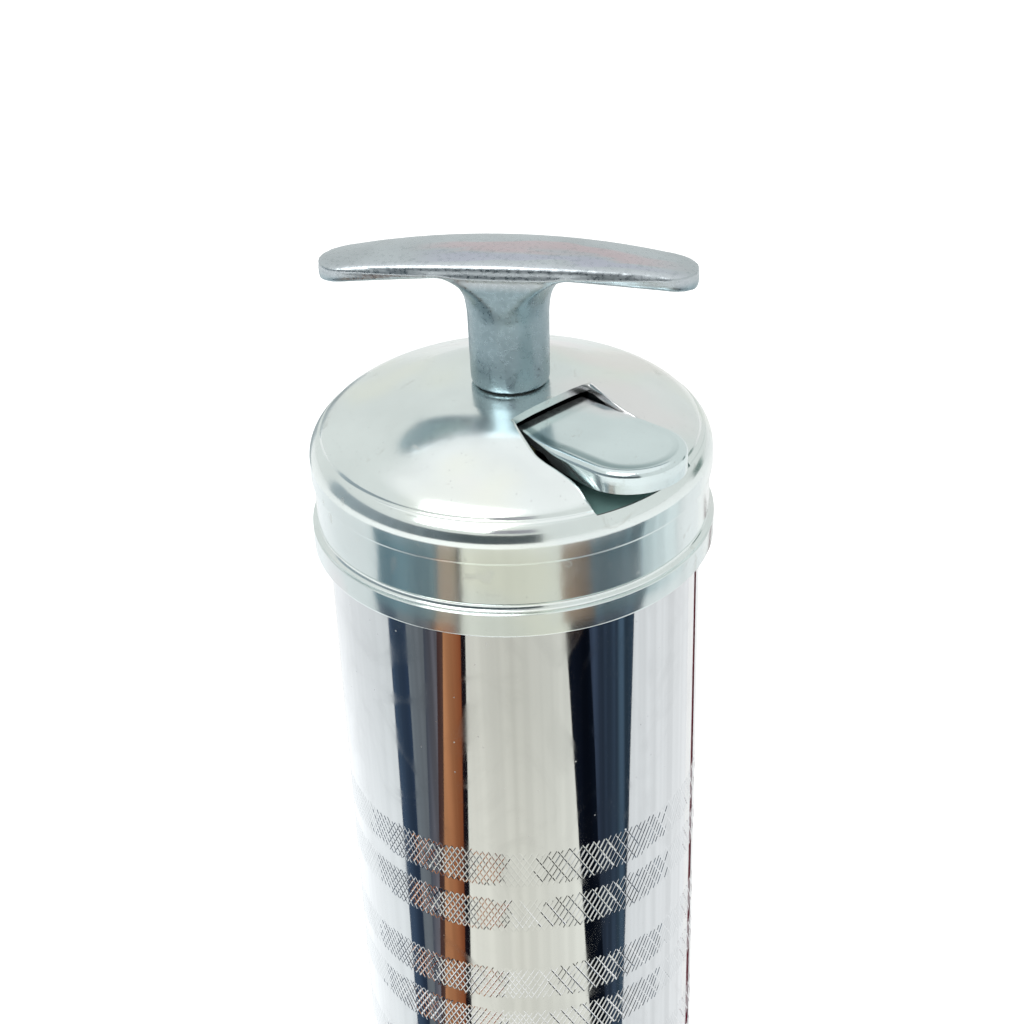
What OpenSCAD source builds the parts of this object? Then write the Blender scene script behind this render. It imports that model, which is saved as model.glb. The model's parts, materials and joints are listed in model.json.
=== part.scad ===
// Air-operated grease gun, stood on its head with the barrel upright and the pull handle on top.
// Millimetres. +Z runs up the barrel's axis, +X towards the delivery pipe, -X towards the grip.

/* [Barrel] */
// Outside diameter of the grease barrel
barrel_d = 56; // [52:0.5:60]
// Wall of the barrel
barrel_wall = 1; // [0.8:0.1:1.4]
// Length of the barrel
barrel_len = 230; // [215:1:260]
// Height of one rolled band
band_w = 6.1; // [4:0.1:7]
// Space between the two bands of a pair
band_gap = 3.1; // [2:0.1:5]
// Distance from one pair of bands to the next
pair_pitch = 23.6; // [20:0.1:28]
// Number of pairs of bands
band_pairs = 3; // [1:1:4]
// Distance from the cap's lower edge down to the first band
first_band = 40.6; // [20:0.1:50]
// Depth that a rolled band is pressed in
band_depth = 0.12; // [0.05:0.01:0.25]

/* [End cap] */
// Sheet of the pressed end cap
cap_t = 1.2; // [1:0.1:1.5]
// Length of the barrel that the cap covers
cap_cover = 14.6; // [13.6:0.1:18]
// Amount that the lower bead stands out from the band
bead_out = 0.75; // [0.4:0.05:1.2]
// Height of the lower bead
bead_h = 3.8; // [3:0.1:4.4]
// Height of the groove above the bead
groove_h = 5.1; // [4.6:0.1:6]
// Height of the step under the shoulder
step_h = 11.5; // [9:0.1:12]
// Amount that the shoulder stands out from the band
shoulder_out = 0.4; // [0.2:0.05:0.8]
// Radius of the shoulder's rounded edge
rim_round = 4.4; // [4:0.1:5]
// Angle that the rim slopes down by at the crease round the dome
rim_from = 41; // [35:1:45]
// Width of the crease round the dome
crease_w = 0.5; // [0.3:0.1:0.8]
// Height of the crease above the pocket's floor
crease_up = 0.5; // [0.3:0.1:1]
// Radial depth of the dome's haunch
haunch_in = 4.2; // [3:0.1:5]
// Height of the dome's haunch above the crease
haunch_up = 2.9; // [2:0.1:3.2]
// Radius of the plateau round the stem
plateau_r = 12.5; // [11.5:0.1:14]
// Height of the plateau's edge above the pocket's floor
plateau_up = 7.5; // [7:0.1:9]
// Rise of the plateau towards its middle
plateau_rise = 0.3; // [0.1:0.05:0.5]
// Thickness of the steel spring seat under the cap
seat_t = 1.2; // [1:0.1:2]

/* [Pull handle] */
// Radius of the stem at its foot
stem_low_r = 5.75; // [5.4:0.05:6.2]
// Radius of the stem under the bar
stem_high_r = 6; // [5.8:0.05:6.4]
// Height of the bar's lower edge above the stem's foot
stem_h = 18.2; // [15:0.1:24]
// Half of the bar's length
bar_half = 27; // [22:0.1:34]
// Depth of the bar over the stem
bar_depth = 12.2; // [12:0.1:15]
// Radius of the bar's rounded ends, in plan
bar_tip_r = 4.5; // [3:0.1:5]
// Amount that the bar's flanks run inside its rounded ends
flank_in = 0.08; // [0.05:0.01:0.2]
// Height of the bar's edge at its middle
bar_edge = 1.8; // [1.4:0.1:3]
// Amount that the bar's top drops towards its ends
arch_drop = 2.6; // [1.5:0.1:4]
// Amount that the bar's top drops towards its front and back edges
crown_drop = 0.8; // [0.5:0.1:2]
// Amount that the bar's underside bulges below its edges
bar_belly = 1.3; // [0.8:0.1:2.5]
// Amount that the bar's underside drops towards its ends
belly_drop = 0.9; // [0.5:0.1:2]
// Radius of the fillets between the stem and the bar
stem_fillet = 6.5; // [4:0.1:8]
// Angle that the handle is turned to
handle_turn = -9.2; // [-180:0.1:180]

/* [Rod and follower] */
// Diameter of the follower's rod
rod_d = 8; // [7:0.1:8.4]
// Depth of the rod in the handle's stem
rod_in_stem = 12; // [8:0.5:14]
// Height of the follower's rubber cup
cup_h = 12; // [10:0.5:16]
// Wall of the follower's rubber cup
cup_wall = 2.4; // [1.8:0.1:3]
// Thickness of the cup's web between its two plates
cup_web = 3; // [2:0.1:4]
// Thickness of the follower's plates
plate_t = 2; // [1.5:0.1:3]
// Radius of the collar that holds the follower on the rod
collar_r = 7; // [6:0.1:9]
// Height of that collar
collar_h = 3; // [2:0.1:4]
// Width across the flats of the nut on the rod
nut_af = 13; // [12:0.1:16]
// Height of the nut on the rod
nut_h = 5; // [4:0.1:7]
// Height of the rod's end above the head's floor
rod_lift = 3; // [2:0.1:6]
// Wire diameter of the follower's spring
spring_wire = 2.4; // [1.8:0.1:2.8]
// Turns of the follower's spring
spring_turns = 21; // [16:1:24]

/* [Thumb latch] */
// Direction of the latch, seen from above
latch_dir = -48; // [-90:1:90]
// Sheet of the latch
latch_t = 1.3; // [1:0.1:1.6]
// Distance of the slot's edge from the rod's axis
slot_from = 8.9; // [8.4:0.1:10]
// Half of the slot's width
slot_half = 7.2; // [6.8:0.1:8]
// Half of the pocket's width past its flare
pocket_half = 9.4; // [9:0.1:11]
// Distance from the rod's axis to the end of the pocket's flare
flare_to = 15.5; // [13:0.1:18]
// Distance from the rod's axis to the start of the flare on the pocket's far side
far_flare_from = 14.6; // [13:0.1:15]
// Half of the tongue's width over its skirt
tongue_half = 7.8; // [7.4:0.1:8.2]
// Distance from the rod's axis to the tongue's tip
tongue_tip = 32.4; // [28:0.1:33]
// Height of the tongue's turned-down skirt
skirt_h = 3.4; // [2:0.1:3.6]
// Distance from the rod's axis to the start of the skirt
skirt_from = 17.5; // [17.3:0.1:19]
// Angle that the tongue rises by
tongue_rise = 3; // [0:0.5:4]
// Distance from the rod's axis back to the latch's fulcrum
fulcrum_back = 10.4; // [9:0.1:11]
// Gap between the latch and the cap's plateau
latch_gap = 1; // [0.6:0.1:1.2]

/* [Head] */
// Height of the seat that the barrel screws down on
seat_z = 50; // [48:0.5:60]
// Wall of the collar round the barrel
collar_wall = 4.5; // [3.5:0.1:6]
// Number of flutes round the collar
flutes = 16; // [0:1:24]
// Radius of a flute
flute_r = 3; // [2:0.1:5]
// Depth of a flute
flute_deep = 1; // [0.5:0.1:1.6]
// Depth of the barrel's thread in the collar
collar_deep = 18; // [14:0.5:24]
// Radius of the head under the collar
head_r = 30; // [28:0.5:31]
// Thickness of the gasket under the barrel
gasket_t = 2; // [1.5:0.1:3]
// Radius of the port from the barrel to the pump
port_r = 6; // [4:0.1:7]
// Height of the pump's axis
pump_z = 26; // [26:0.5:28]
// Distance that the air cylinder's back stands out behind the grip
back_out = 1; // [0.5:0.1:4]
// Distance from the barrel's axis to the front wall of the air cylinder
cyl_front = 42; // [40:0.5:46]
// Bore radius of the air cylinder
cyl_bore_r = 20; // [18:0.1:20.5]
// Wall of the air cylinder
cyl_wall = 4; // [3:0.1:4.5]
// Width of the flat foot under the air cylinder
foot_w = 22; // [16:0.5:28]
// Distance from the barrel's axis to the outlet boss's face
outlet_x = 44; // [42:0.5:50]
// Radius of the outlet boss
outlet_boss_r = 13; // [11:0.1:16]

/* [Pump] */
// Diameter of the pump plunger
plunger_d = 8; // [6:0.1:9]
// Thickness of the air piston
piston_t = 10; // [8:0.5:14]
// Section of the piston's sealing ring
ring_d = 3; // [2.4:0.1:3.4]
// Thickness of the cylinder cap's flange
cyl_cap_t = 6; // [5:0.5:8]
// Depth of the cylinder cap's spigot
cyl_spigot = 7; // [5:0.5:10]
// Air space left behind the piston at rest
air_space = 4; // [3:0.1:6]
// Working stroke of the air piston
stroke = 26; // [18:0.5:28]
// Diameter of the check ball
ball_d = 10; // [9.6:0.1:11.6]
// Distance from the barrel's axis to the check ball's seat
ball_seat_x = 16; // [14:0.5:18]
// Radius of the outlet chamber and its thread
chamber_r = 7; // [6.4:0.1:8]

/* [Grip and trigger] */
// Distance from the barrel's axis to the trigger's pivot
pivot_back = 61; // [58:0.5:64]
// Height of the trigger's pivot
pivot_z = 58; // [56:0.5:62]
// Lean of the grip away from the barrel
grip_lean = 8; // [4:0.5:10]
// Depth of the grip, front to back
grip_deep = 36; // [32:0.5:40]
// Width of the grip
grip_wide = 27; // [24:0.5:30]
// Distance from the trigger's pivot to the grip's front face
grip_front = 14; // [13:0.5:18]
// Length of the grip above the trigger's pivot
grip_len = 92; // [84:1:110]
// Length of the trigger above its pivot
trigger_len = 62; // [50:1:64]
// Width of the trigger
trigger_wide = 14; // [12:0.5:18]
// Diameter of the trigger's pin
pin_d = 4; // [3:0.1:5]
// Thickness of each trigger ear
ear_t = 4; // [3:0.1:5]
// Height of the valve above the trigger's pivot
valve_up = 22; // [18:0.5:26]
// Diameter of the valve stem
valve_d = 4; // [3:0.1:5]
// Number of grooves round the grip
groove_count = 7; // [0:1:9]
// Distance from one groove of the grip to the next
groove_pitch = 7; // [5:0.1:9]
// Depth of the grip's grooves
groove_deep = 0.9; // [0.5:0.05:1.4]
// Depth of the valve's bore in the grip
valve_deep = 24; // [22:0.5:26]
// Radius of the threaded hole in the air inlet
inlet_r = 5.75; // [5:0.05:6.2]
// Length of the threaded hole in the air inlet
inlet_len = 14; // [10:0.5:18]

/* [Delivery pipe] */
// Outside diameter of the delivery pipe
pipe_d = 10; // [9:0.1:11]
// Bore of the delivery pipe
pipe_bore = 4; // [3:0.1:5]
// Distance from the barrel's axis to the end of the delivery pipe
pipe_end = 136; // [110:1:150]
// Outside diameter of the coupler's sleeve
sleeve_d = 16; // [15.5:0.1:18]
// Diameter of the coupler's mouth
mouth_d = 6.6; // [6.4:0.1:7]

/* [Clearances] */
// Radial gap of a running fit
run_gap = 0.05; // [0.03:0.01:0.08]
// Radial gap of a screwed or pressed-in piece
thread_gap = 0.1; // [0.06:0.01:0.2]
// Gap between flat faces that move on each other
flat_gap = 0.1; // [0.05:0.01:0.2]
// Gap round a piece that passes through a hole without touching
free_gap = 0.4; // [0.35:0.05:0.6]

/* [Hidden] */
$fn = 64;

// Length by which a cutting shape passes the face that it cuts
past = 1;
arc_step = 10;

// Barrel and cap levels
barrel_r = barrel_d / 2;
bore_r = barrel_r - barrel_wall;
barrel_z = seat_z + gasket_t;
barrel_top = barrel_z + barrel_len;
cap_z = barrel_top - cap_cover;

// Cap section, radius and height above the cap's lower edge
cap_in_r = barrel_r + thread_gap;
band_r = cap_in_r + cap_t;
bead_r = band_r + bead_out;
shoulder_r = band_r + shoulder_out;
bead_edge = 0.5;
step_rise = 0.4;
plateau_lead = 2;
plateau_round = 3;
ledge_h = cap_cover + seat_t + flat_gap;
floor_h = ledge_h + cap_t;
rim_r = shoulder_r - rim_round;
crease_r = rim_r + rim_round * sin(rim_from);
crease_h = floor_h + crease_up;
crease_deep = 0.1;
rim_h = crease_h - rim_round * cos(rim_from);
haunch_r = crease_r - haunch_in;
haunch_h = crease_h + haunch_up;
plateau_h = floor_h + plateau_up;
crest_h = plateau_h + plateau_rise;
haunch_lead = 0.55 * haunch_in;
dome_slope = (plateau_h - haunch_h) / (haunch_r - plateau_r);
// Sheet thickness measured straight up through the sloping dome
dome_t = cap_t * sqrt(1 + dome_slope * dome_slope);

// Rod and handle levels
rod_r = rod_d / 2;
hole_r = rod_r + free_gap;
stem_z = cap_z + crest_h + flat_gap;
rod_z = seat_z + rod_lift;
rod_top = stem_z + rod_in_stem;
nut_z = rod_z + flat_gap;
lower_z = nut_z + nut_h + flat_gap;
web_z = lower_z + plate_t;
upper_z = web_z + cup_web;
collar_z = upper_z + plate_t + flat_gap;
cup_z = web_z + cup_web / 2 - cup_h / 2;
cup_r = bore_r - run_gap;
plate_r = cup_r - cup_wall - thread_gap;
spring_r = plate_r - spring_wire;

// Latch levels, above the cap's lower edge
latch_top = crest_h - cap_t - latch_gap;
latch_low = latch_top - latch_t;
slot_gap = 0.3;
far_flare_run = 4.2;
tail_gap = 0.5;
latch_half = slot_half - slot_gap;
tail_r = plateau_r - tail_gap;
fulcrum_r = 0.7;
latch_wire = 1;

// Bush of the rod
guide_wall = 1.6;
guide_r = rod_r + guide_wall;
guide_up = 1;
guide_lip = 1.5;
guide_flange = 0.6;

// Head and pump places
collar_out_r = cap_in_r + collar_wall;
collar_foot = seat_z - gasket_t;
cyl_out_r = cyl_bore_r + cyl_wall;
plunger_r = plunger_d / 2;
plunger_bore_r = plunger_r + run_gap;
head_back = pivot_back + (grip_front + grip_deep) * cos(grip_lean) + back_out;
spigot_x = -head_back + cyl_spigot;
piston_x = spigot_x + flat_gap + air_space;
piston_front_x = piston_x + piston_t;
packing_wall = 4;
seal_r = plunger_r + packing_wall;
seal_t = 5;
washer_t = 1.5;
washer_in = 4;
washer_r = cyl_bore_r - washer_in;
spring_x = -cyl_front - washer_t;
tip_gap = 4;
plunger_tip_x = ball_seat_x - tip_gap - stroke;
ball_r = ball_d / 2;
ball_x = ball_seat_x + sqrt(ball_r * ball_r - plunger_bore_r * plunger_bore_r) + flat_gap;
check_len = 6;
fitting_x = ball_x + ball_r + check_len;
fitting_hex = 8;
fitting_in = 3;
fitting_af = 2 * (outlet_boss_r - fitting_in);
fitting_sleeve = 8;
fitting_wall = 3;
pipe_r = pipe_d / 2;
pipe_x = outlet_x + fitting_hex / 2;

// Grip frame: its origin is the trigger's pivot and its Z axis runs up the grip
grip_r = grip_wide / 2;
grip_x = -grip_front - grip_deep / 2;
grip_root = pivot_z - pump_z;
pin_r = pin_d / 2;
valve_r = valve_d / 2;
valve_wall = 3;
valve_bore_r = valve_r + valve_wall;
valve_head_t = 3;
guide_len = 8;
trigger_back = 4.5;
trigger_front = 6.5;
button_x = -trigger_back - flat_gap;
port_len = 2;
valve_head_x = -grip_front - guide_len - port_len;
air_r = 4;
feed_in = 4;
inlet_wall = 3;
inlet_plug_r = inlet_r + inlet_wall;
inlet_plug = 10;
inlet_sunk = 2;
inlet_hex = inlet_len - inlet_sunk;
inlet_af = 2 * (inlet_plug_r + port_len);
hub_wall = 3.2;
hub_r = pin_r + hub_wall;
hub_gap = 0.3;
ear_wall = 3;
ear_r = pin_r + ear_wall;
ear_y = trigger_wide / 2 + hub_gap;

// Coupler places
coupler_hex = 10;
coupler_x = pipe_end - coupler_hex;
coupler_af = sleeve_d - 1;
sleeve_x = coupler_x + coupler_hex + flat_gap;
sleeve_len = 22;
sleeve_r = sleeve_d / 2;
sleeve_wall = 2;
sleeve_bore_r = sleeve_r - sleeve_wall;
spigot_len = 6;
seal_x = sleeve_x + spigot_len + flat_gap;
coupler_seal_t = 3;
jaw_x = seal_x + coupler_seal_t;
nose = 7;
nose_x = sleeve_x + sleeve_len - nose;
nose_lip = 1;
jaw_wall = 2;
jaw_r = sleeve_bore_r - free_gap;
jaw_nose_r = mouth_d / 2 + jaw_wall - free_gap;
jaw_slit = 1;

// Bleed screw
bleed_r = 3;
bleed_wall = 4;
bleed_out = 2;
bleed_shank = 12;
bleed_hex = 5;
bleed_af = 2 * bleed_r + 3;
bleed_tip = 3;
bleed_tip_r = bleed_r - 0.5;
bleed_z = (pump_z + seat_z) / 2;

// Solid of revolution with a centred hole through it
module ring(outer, inner, h) {
    difference() {
        cylinder(r = outer, h = h);
        translate([0, 0, -past]) cylinder(r = inner, h = h + 2 * past);
    }
}

// Six-sided bar measured across its flats
module hex(af, h) {
    cylinder(r = af / sqrt(3), h = h, $fn = 6);
}

// Children are turned so that their Z axis runs along +X from a point on the pump's axis
module on_pump(x) {
    translate([x, 0, pump_z]) rotate([0, 90, 0]) children();
}

// Children are placed in the grip's leaning frame
module on_grip() {
    translate([-pivot_back, 0, pivot_z]) rotate([0, -grip_lean, 0]) children();
}

// Children are placed with X out along the latch and Z up from the cap's lower edge
module on_latch() {
    translate([0, 0, cap_z]) rotate([0, 0, latch_dir]) children();
}

// Children are turned so that their Z axis runs along -X
module backwards() {
    rotate([0, -90, 0]) children();
}

coil_sides = 6;
coil_steps = 12;

// Points of one ring of a coil's wire
function coil_ring(mean_r, wire_r, turn, z) = [
    for (k = [0 : coil_sides - 1])
        let (b = 360 * k / coil_sides, r = mean_r + wire_r * cos(b))
            [r * cos(360 * turn), r * sin(360 * turn), z + wire_r * sin(b)]
];

// Helical spring that stands on z = 0 and reaches to its length
module coil(mean_r, wire_d, turns, length) {
    wire_r = wire_d / 2;
    steps = round(turns * coil_steps);
    rise = (length - wire_d) / steps;
    points = [
        for (i = [0 : steps])
            each coil_ring(mean_r, wire_r, i / coil_steps, wire_r + rise * i)
    ];
    sides = [
        for (i = [0 : steps - 1], k = [0 : coil_sides - 1])
            let (a = i * coil_sides + k, b = i * coil_sides + (k + 1) % coil_sides)
                each [[a, a + coil_sides, b], [b, a + coil_sides, b + coil_sides]]
    ];
    first = [for (k = [0 : coil_sides - 1]) k];
    last = [for (k = [coil_sides - 1 : -1 : 0]) steps * coil_sides + k];
    polyhedron(points, concat(sides, [first, last]), convexity = 10);
}

// Points of a circular arc, in degrees from the first axis
function arc(x, y, r, from, to) = let (steps = ceil((to - from) / arc_step)) [
    for (i = [0 : steps]) let (a = from + (to - from) * i / steps)
        [x + r * cos(a), y + r * sin(a)]
];

// Points of a curve that leaves a towards b and arrives at c from b
function bend(a, b, c) = [
    for (i = [0 : 6]) let (t = i / 6)
        a * (1 - t) * (1 - t) + b * 2 * t * (1 - t) + c * t * t
];

// Outside of the cap from its lower edge to the rod's hole
function cap_outline() = concat(
    [[bead_r - bead_edge, 0], [bead_r, bead_edge], [bead_r, bead_h - bead_edge]],
    bend([bead_r - bead_edge, bead_h], [band_r, bead_h], [band_r, groove_h]),
    [[band_r, step_h], [shoulder_r, step_h + step_rise]],
    arc(rim_r, rim_h, rim_round, 0, 90 - rim_from),
    [[crease_r - crease_w / 2, crease_h - crease_deep]],
    bend([crease_r - crease_w, crease_h + crease_w],
         [haunch_r + haunch_lead, haunch_h - haunch_lead * dome_slope],
         [haunch_r, haunch_h]),
    bend([plateau_r + plateau_lead, plateau_h - plateau_lead * dome_slope],
         [plateau_r, plateau_h], [plateau_r - plateau_round, crest_h])
);

// Inside of the cap from the rod's hole to its lower edge
cap_inside = [
    [plateau_r - plateau_round, crest_h - cap_t],
    [plateau_r, plateau_h - dome_t],
    [haunch_r - cap_t / 2, haunch_h + cap_t / 2 * dome_slope - dome_t],
    [haunch_r - cap_t / 2, ledge_h],
    [cap_in_r, ledge_h],
    [cap_in_r, 0]
];

// Plan of the pocket for the latch, grown by a sheet thickness where it is the pocket's tray
module pocket_plan(grow) {
    polygon([
        [slot_from, -slot_half - grow], [flare_to, -pocket_half - grow],
        [shoulder_r + past, -pocket_half - grow], [shoulder_r + past, pocket_half + grow],
        [far_flare_from + far_flare_run, pocket_half + grow], [far_flare_from, slot_half + grow],
        [slot_from, slot_half + grow]
    ]);
}

// Pressed cap with the latch's pocket sunk into its dome
module end_cap() {
    color("gainsboro") {
        difference() {
            union() {
                translate([0, 0, cap_z])
                    rotate_extrude()
                        polygon(concat(cap_outline(), [[hole_r, crest_h], [hole_r, crest_h - cap_t]],
                                       cap_inside));
                intersection() {
                    translate([0, 0, cap_z])
                        rotate_extrude()
                            polygon(concat([[0, ledge_h], [cap_in_r + cap_t / 2, ledge_h]],
                                           [for (p = cap_outline()) if (p[1] > ledge_h) p],
                                           [[0, crest_h]]));
                    on_latch()
                        translate([0, 0, ledge_h])
                            linear_extrude(crest_h) pocket_plan(cap_t);
                }
            }
            on_latch()
                translate([0, 0, floor_h])
                    linear_extrude(crest_h) pocket_plan(0);
        }
    }
}

// Plan of the tongue: straight sides and a round tip
module tongue_plan(half, from) {
    translate([from, -half]) square([tongue_tip - tongue_half - from, 2 * half]);
    translate([tongue_tip - tongue_half, 0]) circle(r = half);
}

// Thumb latch: a locking plate round the rod with a skirted tongue that comes out of the slot
module latch_lever() {
    color("silver") on_latch() {
        difference() {
            union() {
                translate([0, 0, latch_low])
                    linear_extrude(latch_t) intersection() {
                        circle(r = tail_r);
                        translate([-tail_r, -latch_half])
                            square([tail_r + slot_from, 2 * latch_half]);
                    }
                translate([0, -latch_half, latch_low])
                    cube([skirt_from, 2 * latch_half, latch_t]);
                translate([-fulcrum_back, 0, latch_top - fulcrum_r]) rotate([90, 0, 0])
                    cylinder(r = fulcrum_r, h = slot_half, center = true);
            }
            translate([0, 0, latch_low - past]) cylinder(r = hole_r, h = latch_t + 2 * past);
        }
        translate([skirt_from, 0, latch_top]) rotate([0, -tongue_rise, 0])
            translate([-skirt_from, 0, -skirt_h]) difference() {
                linear_extrude(skirt_h) tongue_plan(tongue_half, skirt_from - latch_t);
                translate([0, 0, -latch_t])
                    linear_extrude(skirt_h)
                        tongue_plan(tongue_half - latch_t, skirt_from - latch_t - past);
            }
    }
}

// Coil under the latch, round the rod
module latch_spring() {
    foot_z = barrel_top + seat_t;
    color("darkgray")
        translate([0, 0, foot_z])
            coil(guide_r + latch_wire, latch_wire, 3, cap_z + latch_low - foot_z - flat_gap);
}

// Steel disc between the barrel's rim and the cap, which takes the follower spring's thrust
module spring_seat() {
    color("darkgray")
        translate([0, 0, barrel_top])
            ring(barrel_r - thread_gap, guide_r + thread_gap, seat_t);
}

// Flanged bush that guides the rod through the spring seat
module rod_guide() {
    color("peru") {
        translate([0, 0, barrel_top]) ring(guide_r, rod_r + run_gap, seat_t + guide_up);
        translate([0, 0, barrel_top - guide_flange])
            ring(guide_r + guide_lip, rod_r + run_gap, guide_flange);
    }
}

// T-shaped pull handle, cast in one piece
module pull_handle() {
    color("lightslategray")
        translate([0, 0, stem_z]) rotate([0, 0, handle_turn]) difference() {
            union() {
                bar();
                intersection() {
                    rotate_extrude() stem_flare();
                    translate([0, 0, stem_h - stem_fillet])
                        linear_extrude(stem_fillet + past) bar_plan();
                }
                cylinder(r1 = stem_low_r, r2 = stem_high_r, h = stem_h + past);
            }
            translate([0, 0, -past]) cylinder(r = rod_r + run_gap, h = rod_in_stem + past);
        }
}

// Radius of an arc from its half width and its rise
function arc_r(half, rise) = (half * half + rise * rise) / (2 * rise);

// Arched bar of the handle: crowned on top, with a belly underneath
module bar() {
    half = bar_depth / 2;
    arch = arc_r(bar_half, arch_drop);
    crown = arc_r(half, crown_drop);
    hollow = arc_r(bar_half, belly_drop);
    belly = arc_r(half, bar_belly);
    crest_z = stem_h + bar_edge + crown_drop;
    foot_z = stem_h - bar_belly;
    difference() {
        intersection() {
            translate([0, 0, crest_z - arch]) rotate([90, 0, 0])
                rotate_extrude($fn = 360) translate([arch - crown, 0]) circle(r = crown);
            translate([0, 0, foot_z - 2 * belly_drop])
                linear_extrude(crest_z - foot_z + 3 * belly_drop) bar_plan();
        }
        translate([0, 0, foot_z - hollow]) rotate([90, 0, 0])
            rotate_extrude($fn = 720) difference() {
                translate([0, -bar_depth]) square([hollow + 2 * bar_belly, 2 * bar_depth]);
                translate([hollow + belly, 0]) circle(r = belly);
            }
    }
}

// Plan of the handle's bar: a lens with rounded ends
module bar_plan() {
    flank = bar_half - bar_tip_r;
    lens_r = arc_r(flank, bar_depth / 2 - bar_tip_r + flank_in);
    intersection() {
        translate([0, bar_depth / 2 - lens_r]) circle(r = lens_r, $fn = 360);
        translate([0, lens_r - bar_depth / 2]) circle(r = lens_r, $fn = 360);
        square([2 * flank, bar_depth], center = true);
    }
    for (side = [-1, 1])
        translate([side * flank, 0]) circle(r = bar_tip_r);
}

// Half section of the fillet between the stem and the bar
module stem_flare() {
    reach = stem_high_r + stem_fillet;
    difference() {
        translate([0, stem_h - stem_fillet]) square([reach, stem_fillet + past]);
        translate([reach, stem_h - stem_fillet]) circle(r = stem_fillet);
    }
}

// Rod from the follower's nut up into the handle
module follower_rod() {
    color("silver")
        translate([0, 0, rod_z]) cylinder(r = rod_r, h = rod_top - rod_z);
}

// Nut under the follower
module rod_nut() {
    color("silver")
        translate([0, 0, nut_z]) difference() {
            hex(nut_af, nut_h);
            translate([0, 0, -past]) cylinder(r = rod_r + run_gap, h = nut_h + 2 * past);
        }
}

// Collar that the follower turns under
module rod_collar() {
    color("silver")
        translate([0, 0, collar_z]) ring(collar_r, rod_r + run_gap, collar_h);
}

// Rubber cup of the follower, with a lip above and below its web
module follower_cup() {
    lip = 1.2;
    color("dimgray") rotate_extrude() polygon([
        [rod_r + run_gap, web_z], [cup_r - cup_wall, web_z], [cup_r - lip, cup_z], [cup_r, cup_z],
        [cup_r, cup_z + cup_h], [cup_r - lip, cup_z + cup_h], [cup_r - cup_wall, upper_z],
        [rod_r + run_gap, upper_z]
    ]);
}

// Plate on top of the cup's web, which carries the follower's spring
module upper_plate() {
    color("silver") translate([0, 0, upper_z]) ring(plate_r, rod_r + run_gap, plate_t);
}

// Plate under the cup's web
module lower_plate() {
    color("silver") translate([0, 0, lower_z]) ring(plate_r, rod_r + run_gap, plate_t);
}

// Long coil between the follower and the spring seat
module follower_spring() {
    foot_z = upper_z + plate_t;
    color("gray")
        translate([0, 0, foot_z])
            coil(spring_r, spring_wire, spring_turns, barrel_top - guide_flange - foot_z);
}

// Chromed barrel with pairs of rolled bands
module barrel() {
    color("whitesmoke") difference() {
        translate([0, 0, barrel_z]) ring(barrel_r, bore_r, barrel_len);
        for (pair = [0 : band_pairs - 1], row = [0, 1])
            translate([0, 0, cap_z - first_band - pair * pair_pitch - row * (band_w + band_gap) - band_w])
                ring(barrel_r + past, barrel_r - band_depth, band_w);
    }
}

// Flat gasket under the barrel's foot
module barrel_gasket() {
    color("dimgray")
        translate([0, 0, seat_z]) ring(barrel_r, bore_r - gasket_t, gasket_t);
}

// Plan of the grip: two round edges joined by flat sides
module grip_plan(shrink) {
    span = grip_deep / 2 - grip_r;
    square([2 * span, 2 * (grip_r - shrink)], center = true);
    for (side = [-1, 1])
        translate([side * span, 0]) circle(r = grip_r - shrink);
}

// Grip with a stepped end for the air inlet and a row of grooves
module grip_body() {
    end_step = 3;
    end_in = 1.5;
    groove_w = groove_pitch / 3;
    difference() {
        translate([grip_x, 0, -grip_root])
            linear_extrude(grip_root + grip_len - end_step) grip_plan(0);
        for (i = [1 : 1 : groove_count])
            translate([grip_x, 0, grip_len - end_step - i * groove_pitch])
                linear_extrude(groove_w) difference() {
                    grip_plan(-past);
                    grip_plan(groove_deep);
                }
    }
    translate([grip_x, 0, grip_len - end_step])
        linear_extrude(end_step) grip_plan(end_in);
}

// Lugs that hold the trigger's pin
module trigger_ears() {
    for (side = [-1, 1])
        translate([0, side * (ear_y + ear_t / 2), 0]) rotate([90, 0, 0])
            linear_extrude(ear_t, center = true) {
                circle(r = ear_r);
                translate([-ear_r, -grip_root]) square([2 * ear_r, grip_root]);
            }
}

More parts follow.
